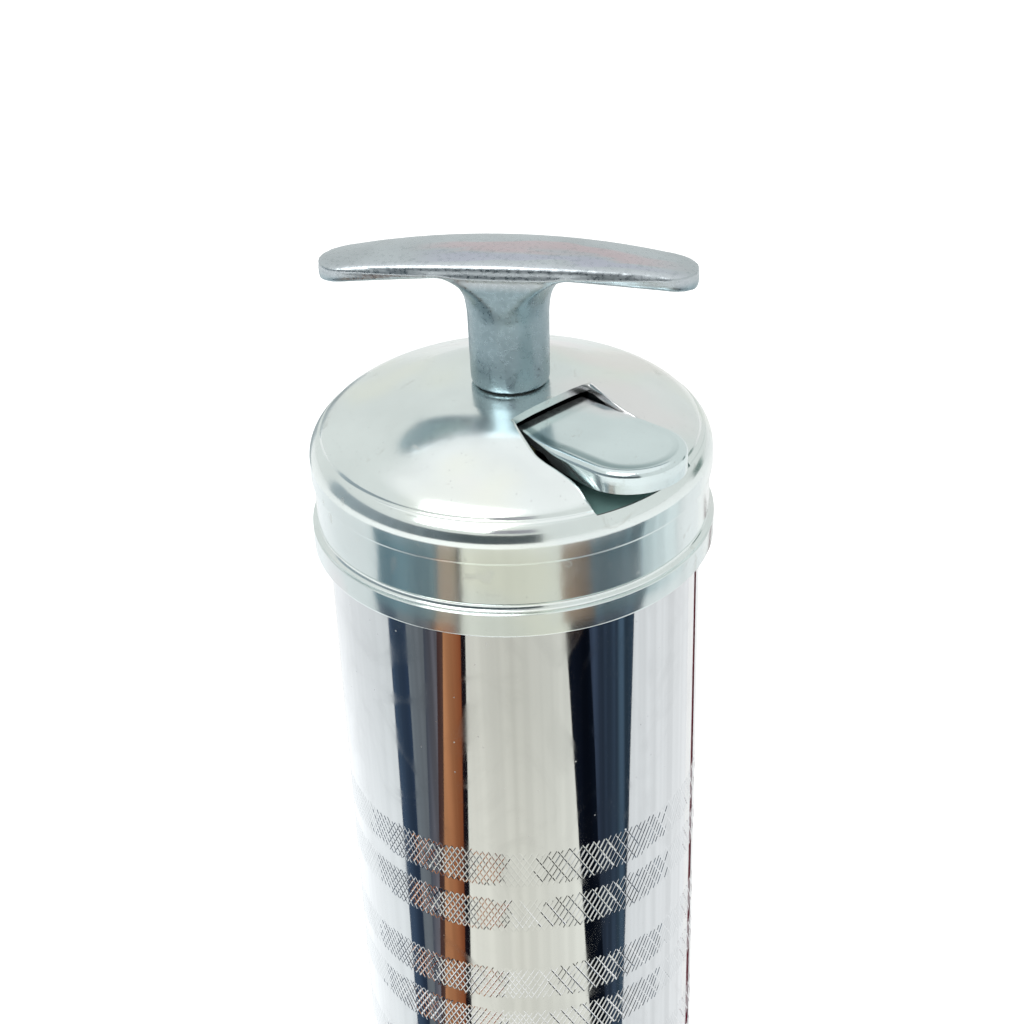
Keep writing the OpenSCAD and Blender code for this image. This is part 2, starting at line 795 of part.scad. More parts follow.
// One casting: collar, pump body, air cylinder, grip and trigger lugs
module head_casting() {
    cone_h = 6;
    color("dimgray") difference() {
        union() {
            cylinder(r = head_r, h = seat_z);
            translate([0, 0, collar_foot - cone_h])
                cylinder(r1 = head_r, r2 = collar_out_r, h = cone_h);
            translate([0, 0, collar_foot]) fluted_collar();
            on_pump(-head_back) cylinder(r = cyl_out_r, h = head_back);
            translate([-head_back, -foot_w / 2, 0]) cube([head_back, foot_w, pump_z]);
            on_pump(0) cylinder(r = outlet_boss_r, h = outlet_x);
            on_grip() grip_body();
            translate([-pivot_back, 0, pivot_z]) trigger_ears();
            translate([0, 0, bleed_z]) rotate([-90, 0, 0])
                cylinder(r = bleed_r + bleed_wall, h = head_r + bleed_out);
        }
        translate([0, 0, seat_z]) cylinder(r = cap_in_r, h = collar_deep + past);
        translate([0, 0, pump_z]) cylinder(r = port_r, h = seat_z);
        on_pump(-cyl_front) cylinder(r = plunger_bore_r, h = cyl_front + outlet_x);
        on_pump(ball_seat_x) cylinder(r = chamber_r, h = outlet_x);
        on_pump(-head_back - past) cylinder(r = cyl_bore_r, h = head_back - cyl_front + past);
        on_pump(-cyl_front - past) cylinder(r = seal_r, h = seal_t + past);
        on_grip() valve_passages();
        air_port();
        translate([-pivot_back, 0, pivot_z]) rotate([90, 0, 0])
            cylinder(r = pin_r + run_gap, h = 2 * (ear_y + ear_t + past), center = true);
        translate([-pivot_back, 0, pivot_z]) rotate([90, 0, 0])
            cylinder(r = hub_r + hub_gap, h = 2 * ear_y, center = true);
        translate([0, 0, bleed_z]) rotate([-90, 0, 0])
            cylinder(r = bleed_r, h = head_r + bleed_out + past);
    }
}

// Collar that the barrel screws into, with flutes round it under a plain rim
module fluted_collar() {
    plain = 3;
    height = seat_z + collar_deep - collar_foot;
    difference() {
        cylinder(r = collar_out_r, h = height);
        for (i = [0 : 1 : flutes - 1])
            rotate([0, 0, 360 * (i + 0.5) / flutes])
                translate([collar_out_r + flute_r - flute_deep, 0, plain])
                    cylinder(r = flute_r, h = height - 2 * plain);
    }
}

// Passage from the valve down to the air space behind the piston
module air_port() {
    low = [spigot_x + air_space / 2, pump_z + cyl_bore_r - past];
    valve_x = valve_head_x + port_len / 2;
    high = [
        -pivot_back + valve_x * cos(grip_lean) - valve_up * sin(grip_lean),
        pivot_z + valve_x * sin(grip_lean) + valve_up * cos(grip_lean)
    ];
    lean = atan2(high[0] - low[0], high[1] - low[1]);
    translate([low[0], 0, low[1]]) rotate([0, lean, 0])
        cylinder(r = air_r / 2, h = norm(high - low));
}

// Passages in the grip: down from the inlet to the bore of the valve
module valve_passages() {
    feed_x = -grip_front - valve_deep + feed_in;
    translate([grip_x, 0, grip_len - inlet_plug])
        cylinder(r = inlet_plug_r + thread_gap, h = inlet_plug + past);
    translate([feed_x, 0, valve_up]) cylinder(r = air_r, h = grip_len - inlet_plug - valve_up + past);
    translate([-grip_front + past, 0, valve_up]) backwards()
        cylinder(r = valve_bore_r, h = valve_deep + past);
}

// Air piston with the groove for its sealing ring
module air_piston() {
    groove = ring_d + 2 * flat_gap;
    color("silver") on_pump(piston_x) difference() {
        ring(cyl_bore_r - run_gap, plunger_r + run_gap, piston_t);
        translate([0, 0, (piston_t - groove) / 2])
            ring(cyl_bore_r + past, cyl_bore_r - ring_d, groove);
    }
}

// Rubber ring round the air piston
module piston_ring() {
    color("black") on_pump(piston_x + piston_t / 2)
        rotate_extrude() translate([cyl_bore_r - run_gap - ring_d / 2 + flat_gap / 4, 0])
            circle(r = ring_d / 2 - flat_gap / 2);
}

// Hardened plunger that the piston drives through the grease
module plunger() {
    tail_x = spigot_x + flat_gap;
    color("lightgray") on_pump(tail_x)
        cylinder(r = plunger_r, h = plunger_tip_x - tail_x);
}

// Packing round the plunger
module plunger_seal() {
    color("black") on_pump(-cyl_front)
        ring(seal_r - thread_gap, plunger_r + run_gap, seal_t - flat_gap);
}

// Washer that holds the packing and seats the return spring
module packing_washer() {
    color("silver") on_pump(-cyl_front - washer_t)
        ring(washer_r, plunger_r + free_gap, washer_t);
}

// Spring that brings the air piston back
module return_spring() {
    wire = 2;
    color("gray") on_pump(piston_front_x)
        coil(washer_r - 2 * wire, wire, 9, spring_x - piston_front_x);
}

// Screwed cap at the back of the air cylinder
module cylinder_cap() {
    chamfer = 1.5;
    spanner_r = 2.5;
    color("dimgray") on_pump(-head_back - cyl_cap_t) difference() {
        union() {
            cylinder(r1 = cyl_out_r - chamfer, r2 = cyl_out_r, h = cyl_cap_t / 3);
            translate([0, 0, cyl_cap_t / 3]) cylinder(r = cyl_out_r, h = cyl_cap_t * 2 / 3);
            translate([0, 0, cyl_cap_t]) cylinder(r = cyl_bore_r - thread_gap, h = cyl_spigot);
        }
        for (side = [-1, 1])
            translate([0, side * cyl_bore_r / 2, -past]) cylinder(r = spanner_r, h = cyl_cap_t / 2 + past);
    }
}

// Side view of the trigger: a straight back, a scooped front and a round end
module trigger_outline() {
    scoop_r = 0.75 * trigger_len;
    scoop_z = 0.55 * trigger_len;
    scoop = 3.5;
    end_r = (trigger_back + trigger_front) / 2;
    difference() {
        union() {
            translate([-trigger_back, 0]) square([2 * end_r, trigger_len - end_r]);
            translate([trigger_front - end_r, trigger_len - end_r]) circle(r = end_r);
        }
        translate([trigger_front + scoop_r - scoop, scoop_z]) circle(r = scoop_r);
    }
    circle(r = hub_r);
}

// Trigger lever
module trigger() {
    color("black") on_grip() rotate([90, 0, 0]) difference() {
        linear_extrude(trigger_wide, center = true) trigger_outline();
        cylinder(r = pin_r + run_gap, h = trigger_wide + 2 * past, center = true);
    }
}

// Pin that the trigger turns on
module trigger_pin() {
    color("silver") translate([-pivot_back, 0, pivot_z]) rotate([90, 0, 0])
        cylinder(r = pin_r, h = 2 * (ear_y + ear_t), center = true);
}

// Bush that guides the valve stem
module valve_guide() {
    color("peru") on_grip() translate([-grip_front, 0, valve_up]) backwards()
        ring(valve_bore_r - thread_gap, valve_r + run_gap, guide_len);
}

// Valve stem between the trigger and its spring
module valve_stem() {
    color("silver") on_grip() {
        translate([button_x - valve_r, 0, valve_up]) {
            sphere(r = valve_r);
            backwards() cylinder(r = valve_r, h = button_x - valve_r - valve_head_x);
        }
        translate([valve_head_x, 0, valve_up]) backwards()
            cylinder(r = valve_bore_r - free_gap, h = valve_head_t);
    }
}

// Spring behind the valve stem
module valve_spring() {
    wire = 0.8;
    foot_x = valve_head_x - valve_head_t;
    color("gray") on_grip() translate([foot_x, 0, valve_up]) backwards()
        coil(valve_bore_r - 2 * wire, wire, 5, valve_deep + grip_front + foot_x);
}

// Threaded air inlet on the end of the grip
module air_inlet() {
    color("goldenrod") on_grip() translate([grip_x, 0, grip_len - inlet_plug]) difference() {
        union() {
            cylinder(r = inlet_plug_r, h = inlet_plug);
            translate([0, 0, inlet_plug]) hex(inlet_af, inlet_hex);
        }
        translate([0, 0, inlet_plug + inlet_hex - inlet_len]) cylinder(r = inlet_r, h = inlet_len + past);
        translate([0, 0, -past]) cylinder(r = air_r, h = inlet_plug + inlet_hex);
    }
}

// Ball of the outlet's check valve
module check_ball() {
    color("lightgray") translate([ball_x, 0, pump_z]) sphere(r = ball_r);
}

// Spring that holds the check ball on its seat
module check_spring() {
    wire = 0.8;
    color("gray") on_pump(ball_x + ball_r)
        coil(pipe_bore / 2 + wire, wire, 4, check_len);
}

// Screwed outlet fitting with a hexagon and a socket for the pipe
module outlet_fitting() {
    color("silver") on_pump(0) difference() {
        union() {
            translate([0, 0, fitting_x]) cylinder(r = chamber_r - thread_gap, h = outlet_x - fitting_x);
            translate([0, 0, outlet_x]) hex(fitting_af, fitting_hex);
            translate([0, 0, outlet_x + fitting_hex]) cylinder(r = pipe_r + fitting_wall, h = fitting_sleeve);
        }
        translate([0, 0, fitting_x - past]) cylinder(r = pipe_bore / 2, h = outlet_x);
        translate([0, 0, pipe_x]) cylinder(r = pipe_r + thread_gap, h = outlet_x);
    }
}

// Rigid delivery pipe
module delivery_pipe() {
    color("silver") on_pump(pipe_x) ring(pipe_r, pipe_bore / 2, pipe_end - pipe_x);
}

// Coupler body: a hexagon on the pipe's end and a spigot for the sleeve
module coupler_body() {
    color("silver") on_pump(coupler_x) difference() {
        union() {
            hex(coupler_af, coupler_hex);
            translate([0, 0, coupler_hex]) cylinder(r = sleeve_bore_r - thread_gap, h = spigot_len);
        }
        translate([0, 0, -past]) cylinder(r = pipe_r + thread_gap, h = coupler_hex + past);
        cylinder(r = pipe_bore / 2, h = coupler_hex + spigot_len + past);
    }
}

// Coupler sleeve with a tapered nose
module coupler_sleeve() {
    nose_r = mouth_d / 2 + jaw_wall + nose_lip;
    color("silver") on_pump(sleeve_x) difference() {
        union() {
            cylinder(r = sleeve_r, h = sleeve_len - nose);
            translate([0, 0, sleeve_len - nose]) cylinder(r1 = sleeve_r, r2 = nose_r, h = nose);
        }
        translate([0, 0, -past]) cylinder(r = sleeve_bore_r, h = sleeve_len - nose + past);
        translate([0, 0, sleeve_len - nose - flat_gap])
            cylinder(r1 = sleeve_bore_r, r2 = nose_r - nose_lip, h = nose + 2 * flat_gap);
    }
}

// Four gripping jaws inside the sleeve
module coupler_jaws() {
    straight = nose_x - jaw_x;
    through = straight + nose + 2 * past;
    color("gray") on_pump(jaw_x) difference() {
        union() {
            cylinder(r = jaw_r, h = straight);
            translate([0, 0, straight]) cylinder(r1 = jaw_r, r2 = jaw_nose_r, h = nose);
        }
        translate([0, 0, -past]) cylinder(r = mouth_d / 2, h = through);
        for (turn = [0, 90])
            rotate([0, 0, turn]) translate([-jaw_slit / 2, -sleeve_r, -past])
                cube([jaw_slit, sleeve_d, through]);
    }
}

// Rubber face that seals on the grease nipple
module coupler_seal() {
    color("black") on_pump(seal_x) ring(jaw_r, pipe_bore / 2, coupler_seal_t);
}

// Bleed screw on the side of the head
module bleed_screw() {
    color("goldenrod") translate([0, head_r + bleed_out, bleed_z]) rotate([-90, 0, 0]) {
        translate([0, 0, -bleed_shank]) cylinder(r = bleed_r - thread_gap, h = bleed_shank);
        hex(bleed_af, bleed_hex);
        translate([0, 0, bleed_hex]) cylinder(r = bleed_tip_r, h = bleed_tip);
    }
}

pull_handle();
follower_rod();
rod_nut();
rod_collar();
follower_cup();
upper_plate();
lower_plate();
follower_spring();
end_cap();
latch_lever();
latch_spring();
spring_seat();
rod_guide();
barrel();
barrel_gasket();
head_casting();
air_piston();
piston_ring();
plunger();
plunger_seal();
packing_washer();
return_spring();
cylinder_cap();
trigger();
trigger_pin();
valve_guide();
valve_stem();
valve_spring();
air_inlet();
check_ball();
check_spring();
outlet_fitting();
delivery_pipe();
coupler_body();
coupler_sleeve();
coupler_jaws();
coupler_seal();
bleed_screw();
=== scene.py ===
"""Looks of the grease gun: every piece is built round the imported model, in metres and in its frame."""

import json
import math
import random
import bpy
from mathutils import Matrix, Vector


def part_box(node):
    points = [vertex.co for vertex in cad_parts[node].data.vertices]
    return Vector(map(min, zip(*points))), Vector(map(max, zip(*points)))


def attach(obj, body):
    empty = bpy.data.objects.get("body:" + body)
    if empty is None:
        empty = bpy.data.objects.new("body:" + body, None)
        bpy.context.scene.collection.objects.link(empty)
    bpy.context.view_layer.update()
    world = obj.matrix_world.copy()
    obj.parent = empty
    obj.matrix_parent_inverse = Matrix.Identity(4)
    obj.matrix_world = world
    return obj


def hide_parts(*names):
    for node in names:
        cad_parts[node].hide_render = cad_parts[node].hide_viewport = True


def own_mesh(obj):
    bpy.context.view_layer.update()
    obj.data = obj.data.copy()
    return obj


bl_info = {
    "name": "Grease gun looks",
    "version": (1, 0, 0),
    "blender": (4, 5, 0),
    "location": "3D View > Sidebar > Grease gun",
    "description": "Builds the finished pieces of an air-operated grease gun and its studio",
    "category": "Object",
}

import bmesh
import bpy
from bpy.props import FloatProperty, FloatVectorProperty, IntProperty, PointerProperty
from mathutils import Matrix, Vector

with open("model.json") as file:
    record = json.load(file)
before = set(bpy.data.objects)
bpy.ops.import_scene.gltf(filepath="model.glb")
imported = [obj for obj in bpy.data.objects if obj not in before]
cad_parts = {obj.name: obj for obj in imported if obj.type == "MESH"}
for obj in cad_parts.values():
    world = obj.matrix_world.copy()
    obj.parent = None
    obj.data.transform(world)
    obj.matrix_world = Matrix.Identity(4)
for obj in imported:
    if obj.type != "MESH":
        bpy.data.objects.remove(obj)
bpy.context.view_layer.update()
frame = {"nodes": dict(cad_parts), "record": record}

MM = 0.001
TURN = 2 * math.pi

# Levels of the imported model
BARREL_LOW, BARREL_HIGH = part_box("barrel")
CAP_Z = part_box("end_cap")[0][2]
BARREL_R = (BARREL_HIGH[0] - BARREL_LOW[0]) / 2
BORE_R = 27 * MM


def length(name, description, millimetres):
    """Float property that holds a length."""
    return FloatProperty(
        name=name, description=description, default=millimetres * MM, unit="LENGTH", precision=5
    )


def colour(name, description, default):
    """Colour property."""
    return FloatVectorProperty(
        name=name, description=description, default=default, subtype="COLOR", size=3, min=0.0, max=1.0
    )


class BarrelLooks(bpy.types.PropertyGroup):
    """Sizes and colour of the chromed barrel."""

    first_band: length("First band", "Distance from the cap's lower edge to the first rolled band", 40.6)
    band_wide: length("Band", "Height of one rolled band", 6.1)
    band_gap: length("Gap", "Space between the two bands of a pair", 3.1)
    pair_pitch: length("Pair pitch", "Distance from one pair of bands to the next", 23.6)
    pairs: IntProperty(name="Pairs", description="Number of pairs of bands", default=3, min=1, max=4)
    lines: IntProperty(name="Lines", description="Rolled lines round it, each way", default=184, min=60)
    line_half: length("Line half width", "Half of the width of a rolled line", 0.16)
    line_deep: length("Line depth", "Depth of a rolled line", 0.043)
    chrome: colour("Chrome", "Colour of the chrome", (0.80, 0.81, 0.82))


class CapLooks(bpy.types.PropertyGroup):
    """Sizes and colour of the pressed cap and its latch."""

    sheet: length("Sheet", "Sheet of the cap", 1.2)
    rim_round: length("Pocket rim", "Radius of the pocket's pressed rim", 0.9)
    floor_round: length("Pocket floor", "Radius between the pocket's floor and walls", 0.5)
    plate: colour("Plate", "Colour of the bright plating", (0.84, 0.90, 0.89))


class HandleLooks(bpy.types.PropertyGroup):
    """Sizes and colour of the cast pull handle."""

    grain: length("Grain", "Size of the mesh's cells", 0.26)
    parting: length("Parting line", "Amount that the parting line stands out", 0.12)
    seam_down: length("Parting level", "Distance from the bar's crest down to the parting line", 2.7)
    tip_drop: length("Tip drop", "Amount that the underside of the bar's tips hangs lower", 0.7)
    play: length("Play", "Amount that the handle sits to one side on its rod", 0.3)
    zinc: colour("Zinc", "Colour of the die casting", (0.575, 0.625, 0.655))
    # The stem's colour is the casting's colour darkened as painted shade under the bar
    stem: colour("Stem", "Colour of the casting's stem", (0.335, 0.435, 0.475))
    stem_top: length("Stem top", "Height above the stem's foot where the bar's colour starts", 17.5)


class HeadLooks(bpy.types.PropertyGroup):
    """Sizes and colours of the head, the grip and the fittings."""

    grain: length("Grain", "Size of the mesh's cells", 0.92)
    casting: colour("Casting", "Colour of the cast head", (0.55, 0.56, 0.57))
    steel: colour("Steel", "Colour of turned steel", (0.66, 0.67, 0.68))
    spring: colour("Springs", "Colour of oiled spring wire", (0.30, 0.31, 0.33))
    paint: colour("Trigger", "Colour of the painted trigger", (0.035, 0.035, 0.04))
    brass: colour("Brass", "Colour of turned brass", (0.72, 0.56, 0.27))
    rubber: colour("Rubber", "Colour of the seals", (0.03, 0.03, 0.032))


class StudioLooks(bpy.types.PropertyGroup):
    """Colours of the studio round the gun."""

    wall: colour("Walls", "Colour of the room near the horizon", (0.76, 0.785, 0.77))
    ceiling: colour("Ceiling", "Colour of the room overhead", (1.0, 1.0, 1.0))
    floor: colour("Floor", "Colour of the floor", (0.86, 0.86, 0.86))


class GunLooks(bpy.types.PropertyGroup):
    """All the values of the gun's looks."""

    barrel: PointerProperty(type=BarrelLooks)
    cap: PointerProperty(type=CapLooks)
    handle: PointerProperty(type=HandleLooks)
    head: PointerProperty(type=HeadLooks)
    studio: PointerProperty(type=StudioLooks)


# Mesh helpers


def link_mesh(name, verts, faces):
    """New object from vertices in metres."""
    mesh = bpy.data.meshes.new(name)
    mesh.from_pydata(verts, [], faces)
    mesh.update()
    obj = bpy.data.objects.new(name, mesh)
    bpy.context.scene.collection.objects.link(obj)
    return obj


def apply_modifiers(obj):
    """Turns the object's modifiers into its mesh."""
    depsgraph = bpy.context.evaluated_depsgraph_get()
    mesh = bpy.data.meshes.new_from_object(obj.evaluated_get(depsgraph))
    obj.modifiers.clear()
    obj.data = mesh


def combine(obj, tool, operation):
    """Unites the object with another one, or cuts it, and removes the other one."""
    modifier = obj.modifiers.new("combine", "BOOLEAN")
    modifier.operation = operation
    modifier.solver = "EXACT"
    modifier.object = tool
    apply_modifiers(obj)
    bpy.data.objects.remove(tool)


def drop_flaps(obj):
    """Removes faces that lie back to back on the same corners."""
    work = bmesh.new()
    work.from_mesh(obj.data)
    groups = {}
    for face in work.faces:
        groups.setdefault(frozenset(face.verts), []).append(face)
    flaps = [face for faces in groups.values() if len(faces) > 1 for face in faces]
    bmesh.ops.delete(work, geom=flaps, context="FACES")
    work.to_mesh(obj.data)
    work.free()


def smooth_shade(obj, degrees):
    """Smooth shading with edges sharper than an angle kept crisp."""
    mesh = obj.data
    mesh.polygons.foreach_set("use_smooth", [True] * len(mesh.polygons))
    mesh.set_sharp_from_angle(angle=math.radians(degrees))


def outward(obj, weld=0.0):
    """Turns all faces of a closed mesh outwards, after joining points that lie closer than a distance."""
    work = bmesh.new()
    work.from_mesh(obj.data)
    if weld:
        bmesh.ops.remove_doubles(work, verts=work.verts, dist=weld)
    bmesh.ops.recalc_face_normals(work, faces=work.faces)
    work.to_mesh(obj.data)
    work.free()


def circle_points(radius, count):
    """Points round a circle."""
    return [(radius * math.cos(TURN * k / count), radius * math.sin(TURN * k / count)) for k in range(count)]


def lathe(name, profile, segments):
    """Closed solid turned from a closed profile of radius and height."""
    verts = [(x, y, z) for r, z in profile for x, y in circle_points(r, segments)]
    faces = []
    rows = len(profile)
    for i in range(rows):
        low = i * segments
        high = (i + 1) % rows * segments
        for k in range(segments):
            n = (k + 1) % segments
            faces.append((low + k, low + n, high + n, high + k))
    obj = link_mesh(name, verts, faces)
    outward(obj)
    return obj


def rounded(corners, step=6.0):
    """Line through corners of x, y and radius, with arcs in place of the corners."""
    points = []
    last = len(corners) - 1
    for i, (x, y, radius) in enumerate(corners):
        here = Vector((x, y))
        if radius == 0 or i == 0 or i == last:
            points.append((x, y))
            continue
        back = Vector(corners[i - 1][:2]) - here
        ahead = Vector(corners[i + 1][:2]) - here
        turn = math.pi - back.angle(ahead)
        reach = min(radius * math.tan(turn / 2), 0.48 * back.length, 0.48 * ahead.length)
        radius = reach / math.tan(turn / 2)
        start = here + back.normalized() * reach
        end = here + ahead.normalized() * reach
        middle = here + (back.normalized() + ahead.normalized()).normalized() * (radius / math.cos(turn / 2))
        steps = max(2, round(math.degrees(turn) / step))
        first = start - middle
        swing = first.angle_signed(end - middle)
        for k in range(steps + 1):
            a = -swing * k / steps
            arm = Matrix.Rotation(a, 2) @ first
            points.append(tuple(middle + arm))
    return points


def bend(a, b, c, steps=12):
    """Curve from a to c that leaves towards b and arrives from it."""
    points = []
    for k in range(steps + 1):
        t = k / steps
        points.append(tuple(
            (1 - t) * (1 - t) * p + 2 * t * (1 - t) * q + t * t * r for p, q, r in zip(a, b, c)))
    return points


def loft(name, sections):
    """Closed solid through sections of equal point counts, with flat ends."""
    count = len(sections[0])
    verts = [p for section in sections for p in section]
    faces = []
    for i in range(len(sections) - 1):
        for k in range(count):
            n = (k + 1) % count
            faces.append((i * count + k, i * count + n, (i + 1) * count + n, (i + 1) * count + k))
    faces.append(tuple(range(count)))
    faces.append(tuple((len(sections) - 1) * count + k for k in range(count)))
    obj = link_mesh(name, verts, faces)
    outward(obj)
    return obj


def copy_node(name, node):
    """New object with a copy of a CAD node's mesh."""
    obj = bpy.data.objects.new(name, frame["nodes"][node].data.copy())
    obj.data.materials.clear()
    bpy.context.scene.collection.objects.link(obj)
    return obj


def cast_copy(name, node, cell, rounds):
    """Copy of a CAD node as one even skin with its edges rounded, as a casting has them."""
    obj = copy_node(name, node)
    remesh = obj.modifiers.new("skin", "REMESH")
    remesh.mode = "VOXEL"
    remesh.voxel_size = cell
    soften = obj.modifiers.new("soften", "SMOOTH")
    soften.factor = 0.5
    soften.iterations = rounds
    apply_modifiers(obj)
    return obj


def settle(obj, material, body, slot, *nodes):
    """Gives a piece its material and body and hides the nodes that it stands for; the slot is not used."""
    obj.data.materials.clear()
    obj.data.materials.append(material)
    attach(obj, body)
    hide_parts(*nodes)


# Material helpers


class Graph:
    """Node tree with one call that makes a node, sets it and links it."""

    def __init__(self, tree):
        self.tree = tree
        tree.nodes.clear()

    def add(self, kind, inputs=None, **settings):
        """New node; its inputs are values or sockets, by name or number."""
        node = self.tree.nodes.new("ShaderNode" + kind)
        for key, value in settings.items():
            setattr(node, key, value)
        for key, value in (inputs or {}).items():
            socket = node.inputs[key]
            if isinstance(value, bpy.types.NodeSocket):
                self.tree.links.new(value, socket)
            elif socket.type == "RGBA":
                socket.default_value = (*value, 1)
            else:
                socket.default_value = value
        return node.outputs


class Finish(Graph):
    """Material of one Principled shader with a few shorthand calls."""

    def __init__(self, name, metallic, base, roughness):
        self.material = bpy.data.materials.new(name)
        self.material.use_nodes = True
        super().__init__(self.material.node_tree)
        look = {"Metallic": metallic, "Base Color": base, "Roughness": roughness}
        self.add("OutputMaterial", {"Surface": self.add("BsdfPrincipled", look)[0]})
        self.shader = self.tree.nodes["Principled BSDF"].inputs
        self.place = self.add("TexCoord")["Object"]

    def set(self, name, socket):
        """Links a socket to an input of the shader."""
        self.tree.links.new(socket, self.shader[name])

    def stretched(self, x, y, z):
        """Place with each axis scaled."""
        return self.add("Mapping", {"Scale": (x, y, z), "Vector": self.place})["Vector"]

    def noise(self, scale, detail=3.0, place=None, distortion=0.0):
        """Cloudy noise."""
        inputs = {"Scale": scale, "Detail": detail, "Distortion": distortion, "Vector": place or self.place}
        return self.add("TexNoise", inputs)["Fac"]

    def spots(self, scale):
        """Distance from the nearest of scattered points."""
        return self.add("TexVoronoi", {"Scale": scale, "Vector": self.place})["Distance"]

    def finger(self, x, z, size):
        """Whorl of a fingertip on the front, by its middle and half size in millimetres."""
        flat = {"Location": (-x * MM, 0, -z * MM), "Scale": (1, 0, 0.7), "Vector": self.place}
        shift = self.add("Mapping", flat)["Vector"]
        rings = {"Scale": 620.0, "Distortion": 5.0, "Detail Scale": 0.4, "Vector": shift}
        whorl = self.add("TexWave", rings, wave_type="RINGS", rings_direction="Y")["Fac"]
        far = self.add("VectorMath", {0: shift}, operation="LENGTH")["Value"]
        patch = self.between(far, 0.5 * size * MM, size * MM, 1.0, 0.0)
        patch = self.times(patch, self.between(self.along(0, 1), -0.02, -0.015, 1.0, 0.0))
        return self.times(patch, self.between(whorl, 0.4, 0.8))

    def along(self, x, y, z=0.0):
        """Distance along a direction."""
        return self.add("VectorMath", {0: self.place, 1: (x, y, z)}, operation="DOT_PRODUCT")["Value"]

    def level(self):
        """Height of the place."""
        return self.along(0.0, 0.0, 1.0)

    def reach(self):
        """Distance from the upright axis."""
        return self.add("VectorMath", {0: self.stretched(1, 1, 0)}, operation="LENGTH")["Value"]

    def between(self, value, low, high, out_low=0.0, out_high=1.0, kind="SMOOTHSTEP"):
        """Value from a low and a high limit to new ones."""
        inputs = {"Value": value, "From Min": low, "From Max": high, "To Min": out_low, "To Max": out_high}
        return self.add("MapRange", inputs, interpolation_type=kind)["Result"]

    def window(self, value, start, full, fade, end):
        """Share that rises from a start to full, and falls from the fade to the end."""
        return self.times(self.between(value, start, full), self.between(value, fade, end, 1.0, 0.0))

    def sum(self, a, b, operation="ADD"):
        """Two values put together."""
        return self.add("Math", {0: a, 1: b}, operation=operation)[0]

    def times(self, a, b):
        """Product of two values."""
        return self.sum(a, b, "MULTIPLY")

    def mix(self, share, a, b):
        """Colour between two, each a colour or a socket."""
        return self.add("Mix", {"Factor": share, "A": a, "B": b}, data_type="RGBA")["Result"]

    def paint(self, socket):
        self.set("Base Color", socket)

    def rough(self, socket):
        self.set("Roughness", socket)

    def bump(self, height, distance, strength=1.0):
        """Fine relief of the surface."""
        inputs = {"Distance": distance, "Strength": strength, "Height": height}
        self.set("Normal", self.add("Bump", inputs)["Normal"])


def shade(base, factor):
    """Colour times a factor."""
    return tuple(min(1.0, c * factor) for c in base)


def chrome_finish(base):
    """Mirror chrome with faint smudges and a few specks."""
    f = Finish("chrome_barrel", 1.0, base, 0.06)
    smudge = f.noise(90.0, 4.0, f.stretched(1, 1, 0.6), 2.5)
    specks = f.between(f.spots(330.0), 0.03, 0.06, 1.0, 0.0)
    f.paint(f.mix(f.between(smudge, 0.45, 0.75), base, shade(base, 0.94)))
    veil = f.between(smudge, 0.48, 0.72, 0.045, 0.13)
    marks = f.sum(f.finger(2.0, 240.0, 7.0), f.finger(-3.5, 231.0, 5.0), "MAXIMUM")
    f.rough(f.sum(f.sum(veil, f.between(specks, 0.0, 1.0, 0.0, 0.4)), f.between(marks, 0.0, 1.0, 0.0, 0.16)))
    f.bump(f.noise(60.0, 2.0, f.stretched(1, 1, 0.25)), 0.00004, 0.35)
    return f.material


def plating(name, base):
    """Bright plating with stains, pits and a faint orange peel; gives the finish and its colour."""
    f = Finish(name, 0.95, base, 0.17)
    cloud = f.noise(70.0, 5.0)
    stain = f.between(f.noise(260.0, 4.0, None, 1.0), 0.62, 0.75)
    pits = f.between(f.spots(900.0), 0.05, 0.12, 1.0, 0.0)
    tone = f.mix(f.between(cloud, 0.35, 0.7), base, shade(base, 0.93))
    yellow = f.between(f.noise(38.0, 2.0), 0.52, 0.66, 0.0, 0.5)
    tone = f.mix(yellow, tone, (0.88, 0.90, 0.78))
    pink = f.between(f.noise(31.0, 2.0, f.stretched(1, 1.3, 1)), 0.54, 0.68, 0.0, 0.5)
    tone = f.mix(pink, tone, (0.90, 0.82, 0.83))
    tone = f.mix(f.between(stain, 0.0, 1.0, 0.0, 0.35), tone, (0.62, 0.64, 0.60))
    tone = f.mix(f.between(pits, 0.0, 1.0, 0.0, 0.5), tone, (0.45, 0.48, 0.48))
    f.rough(f.sum(f.between(cloud, 0.3, 0.75, 0.12, 0.2), f.between(stain, 0.0, 1.0, 0.0, 0.12)))
    f.bump(f.noise(420.0, 3.0), 0.00005, 0.2)
    return f, tone


# Near-black colour painted where there is only shade: in the latch's pocket and on the latch under the cap
PAINTED_SHADE = (0.006, 0.008, 0.009)
LATCH_TINT = (0.90, 0.95, 0.97)


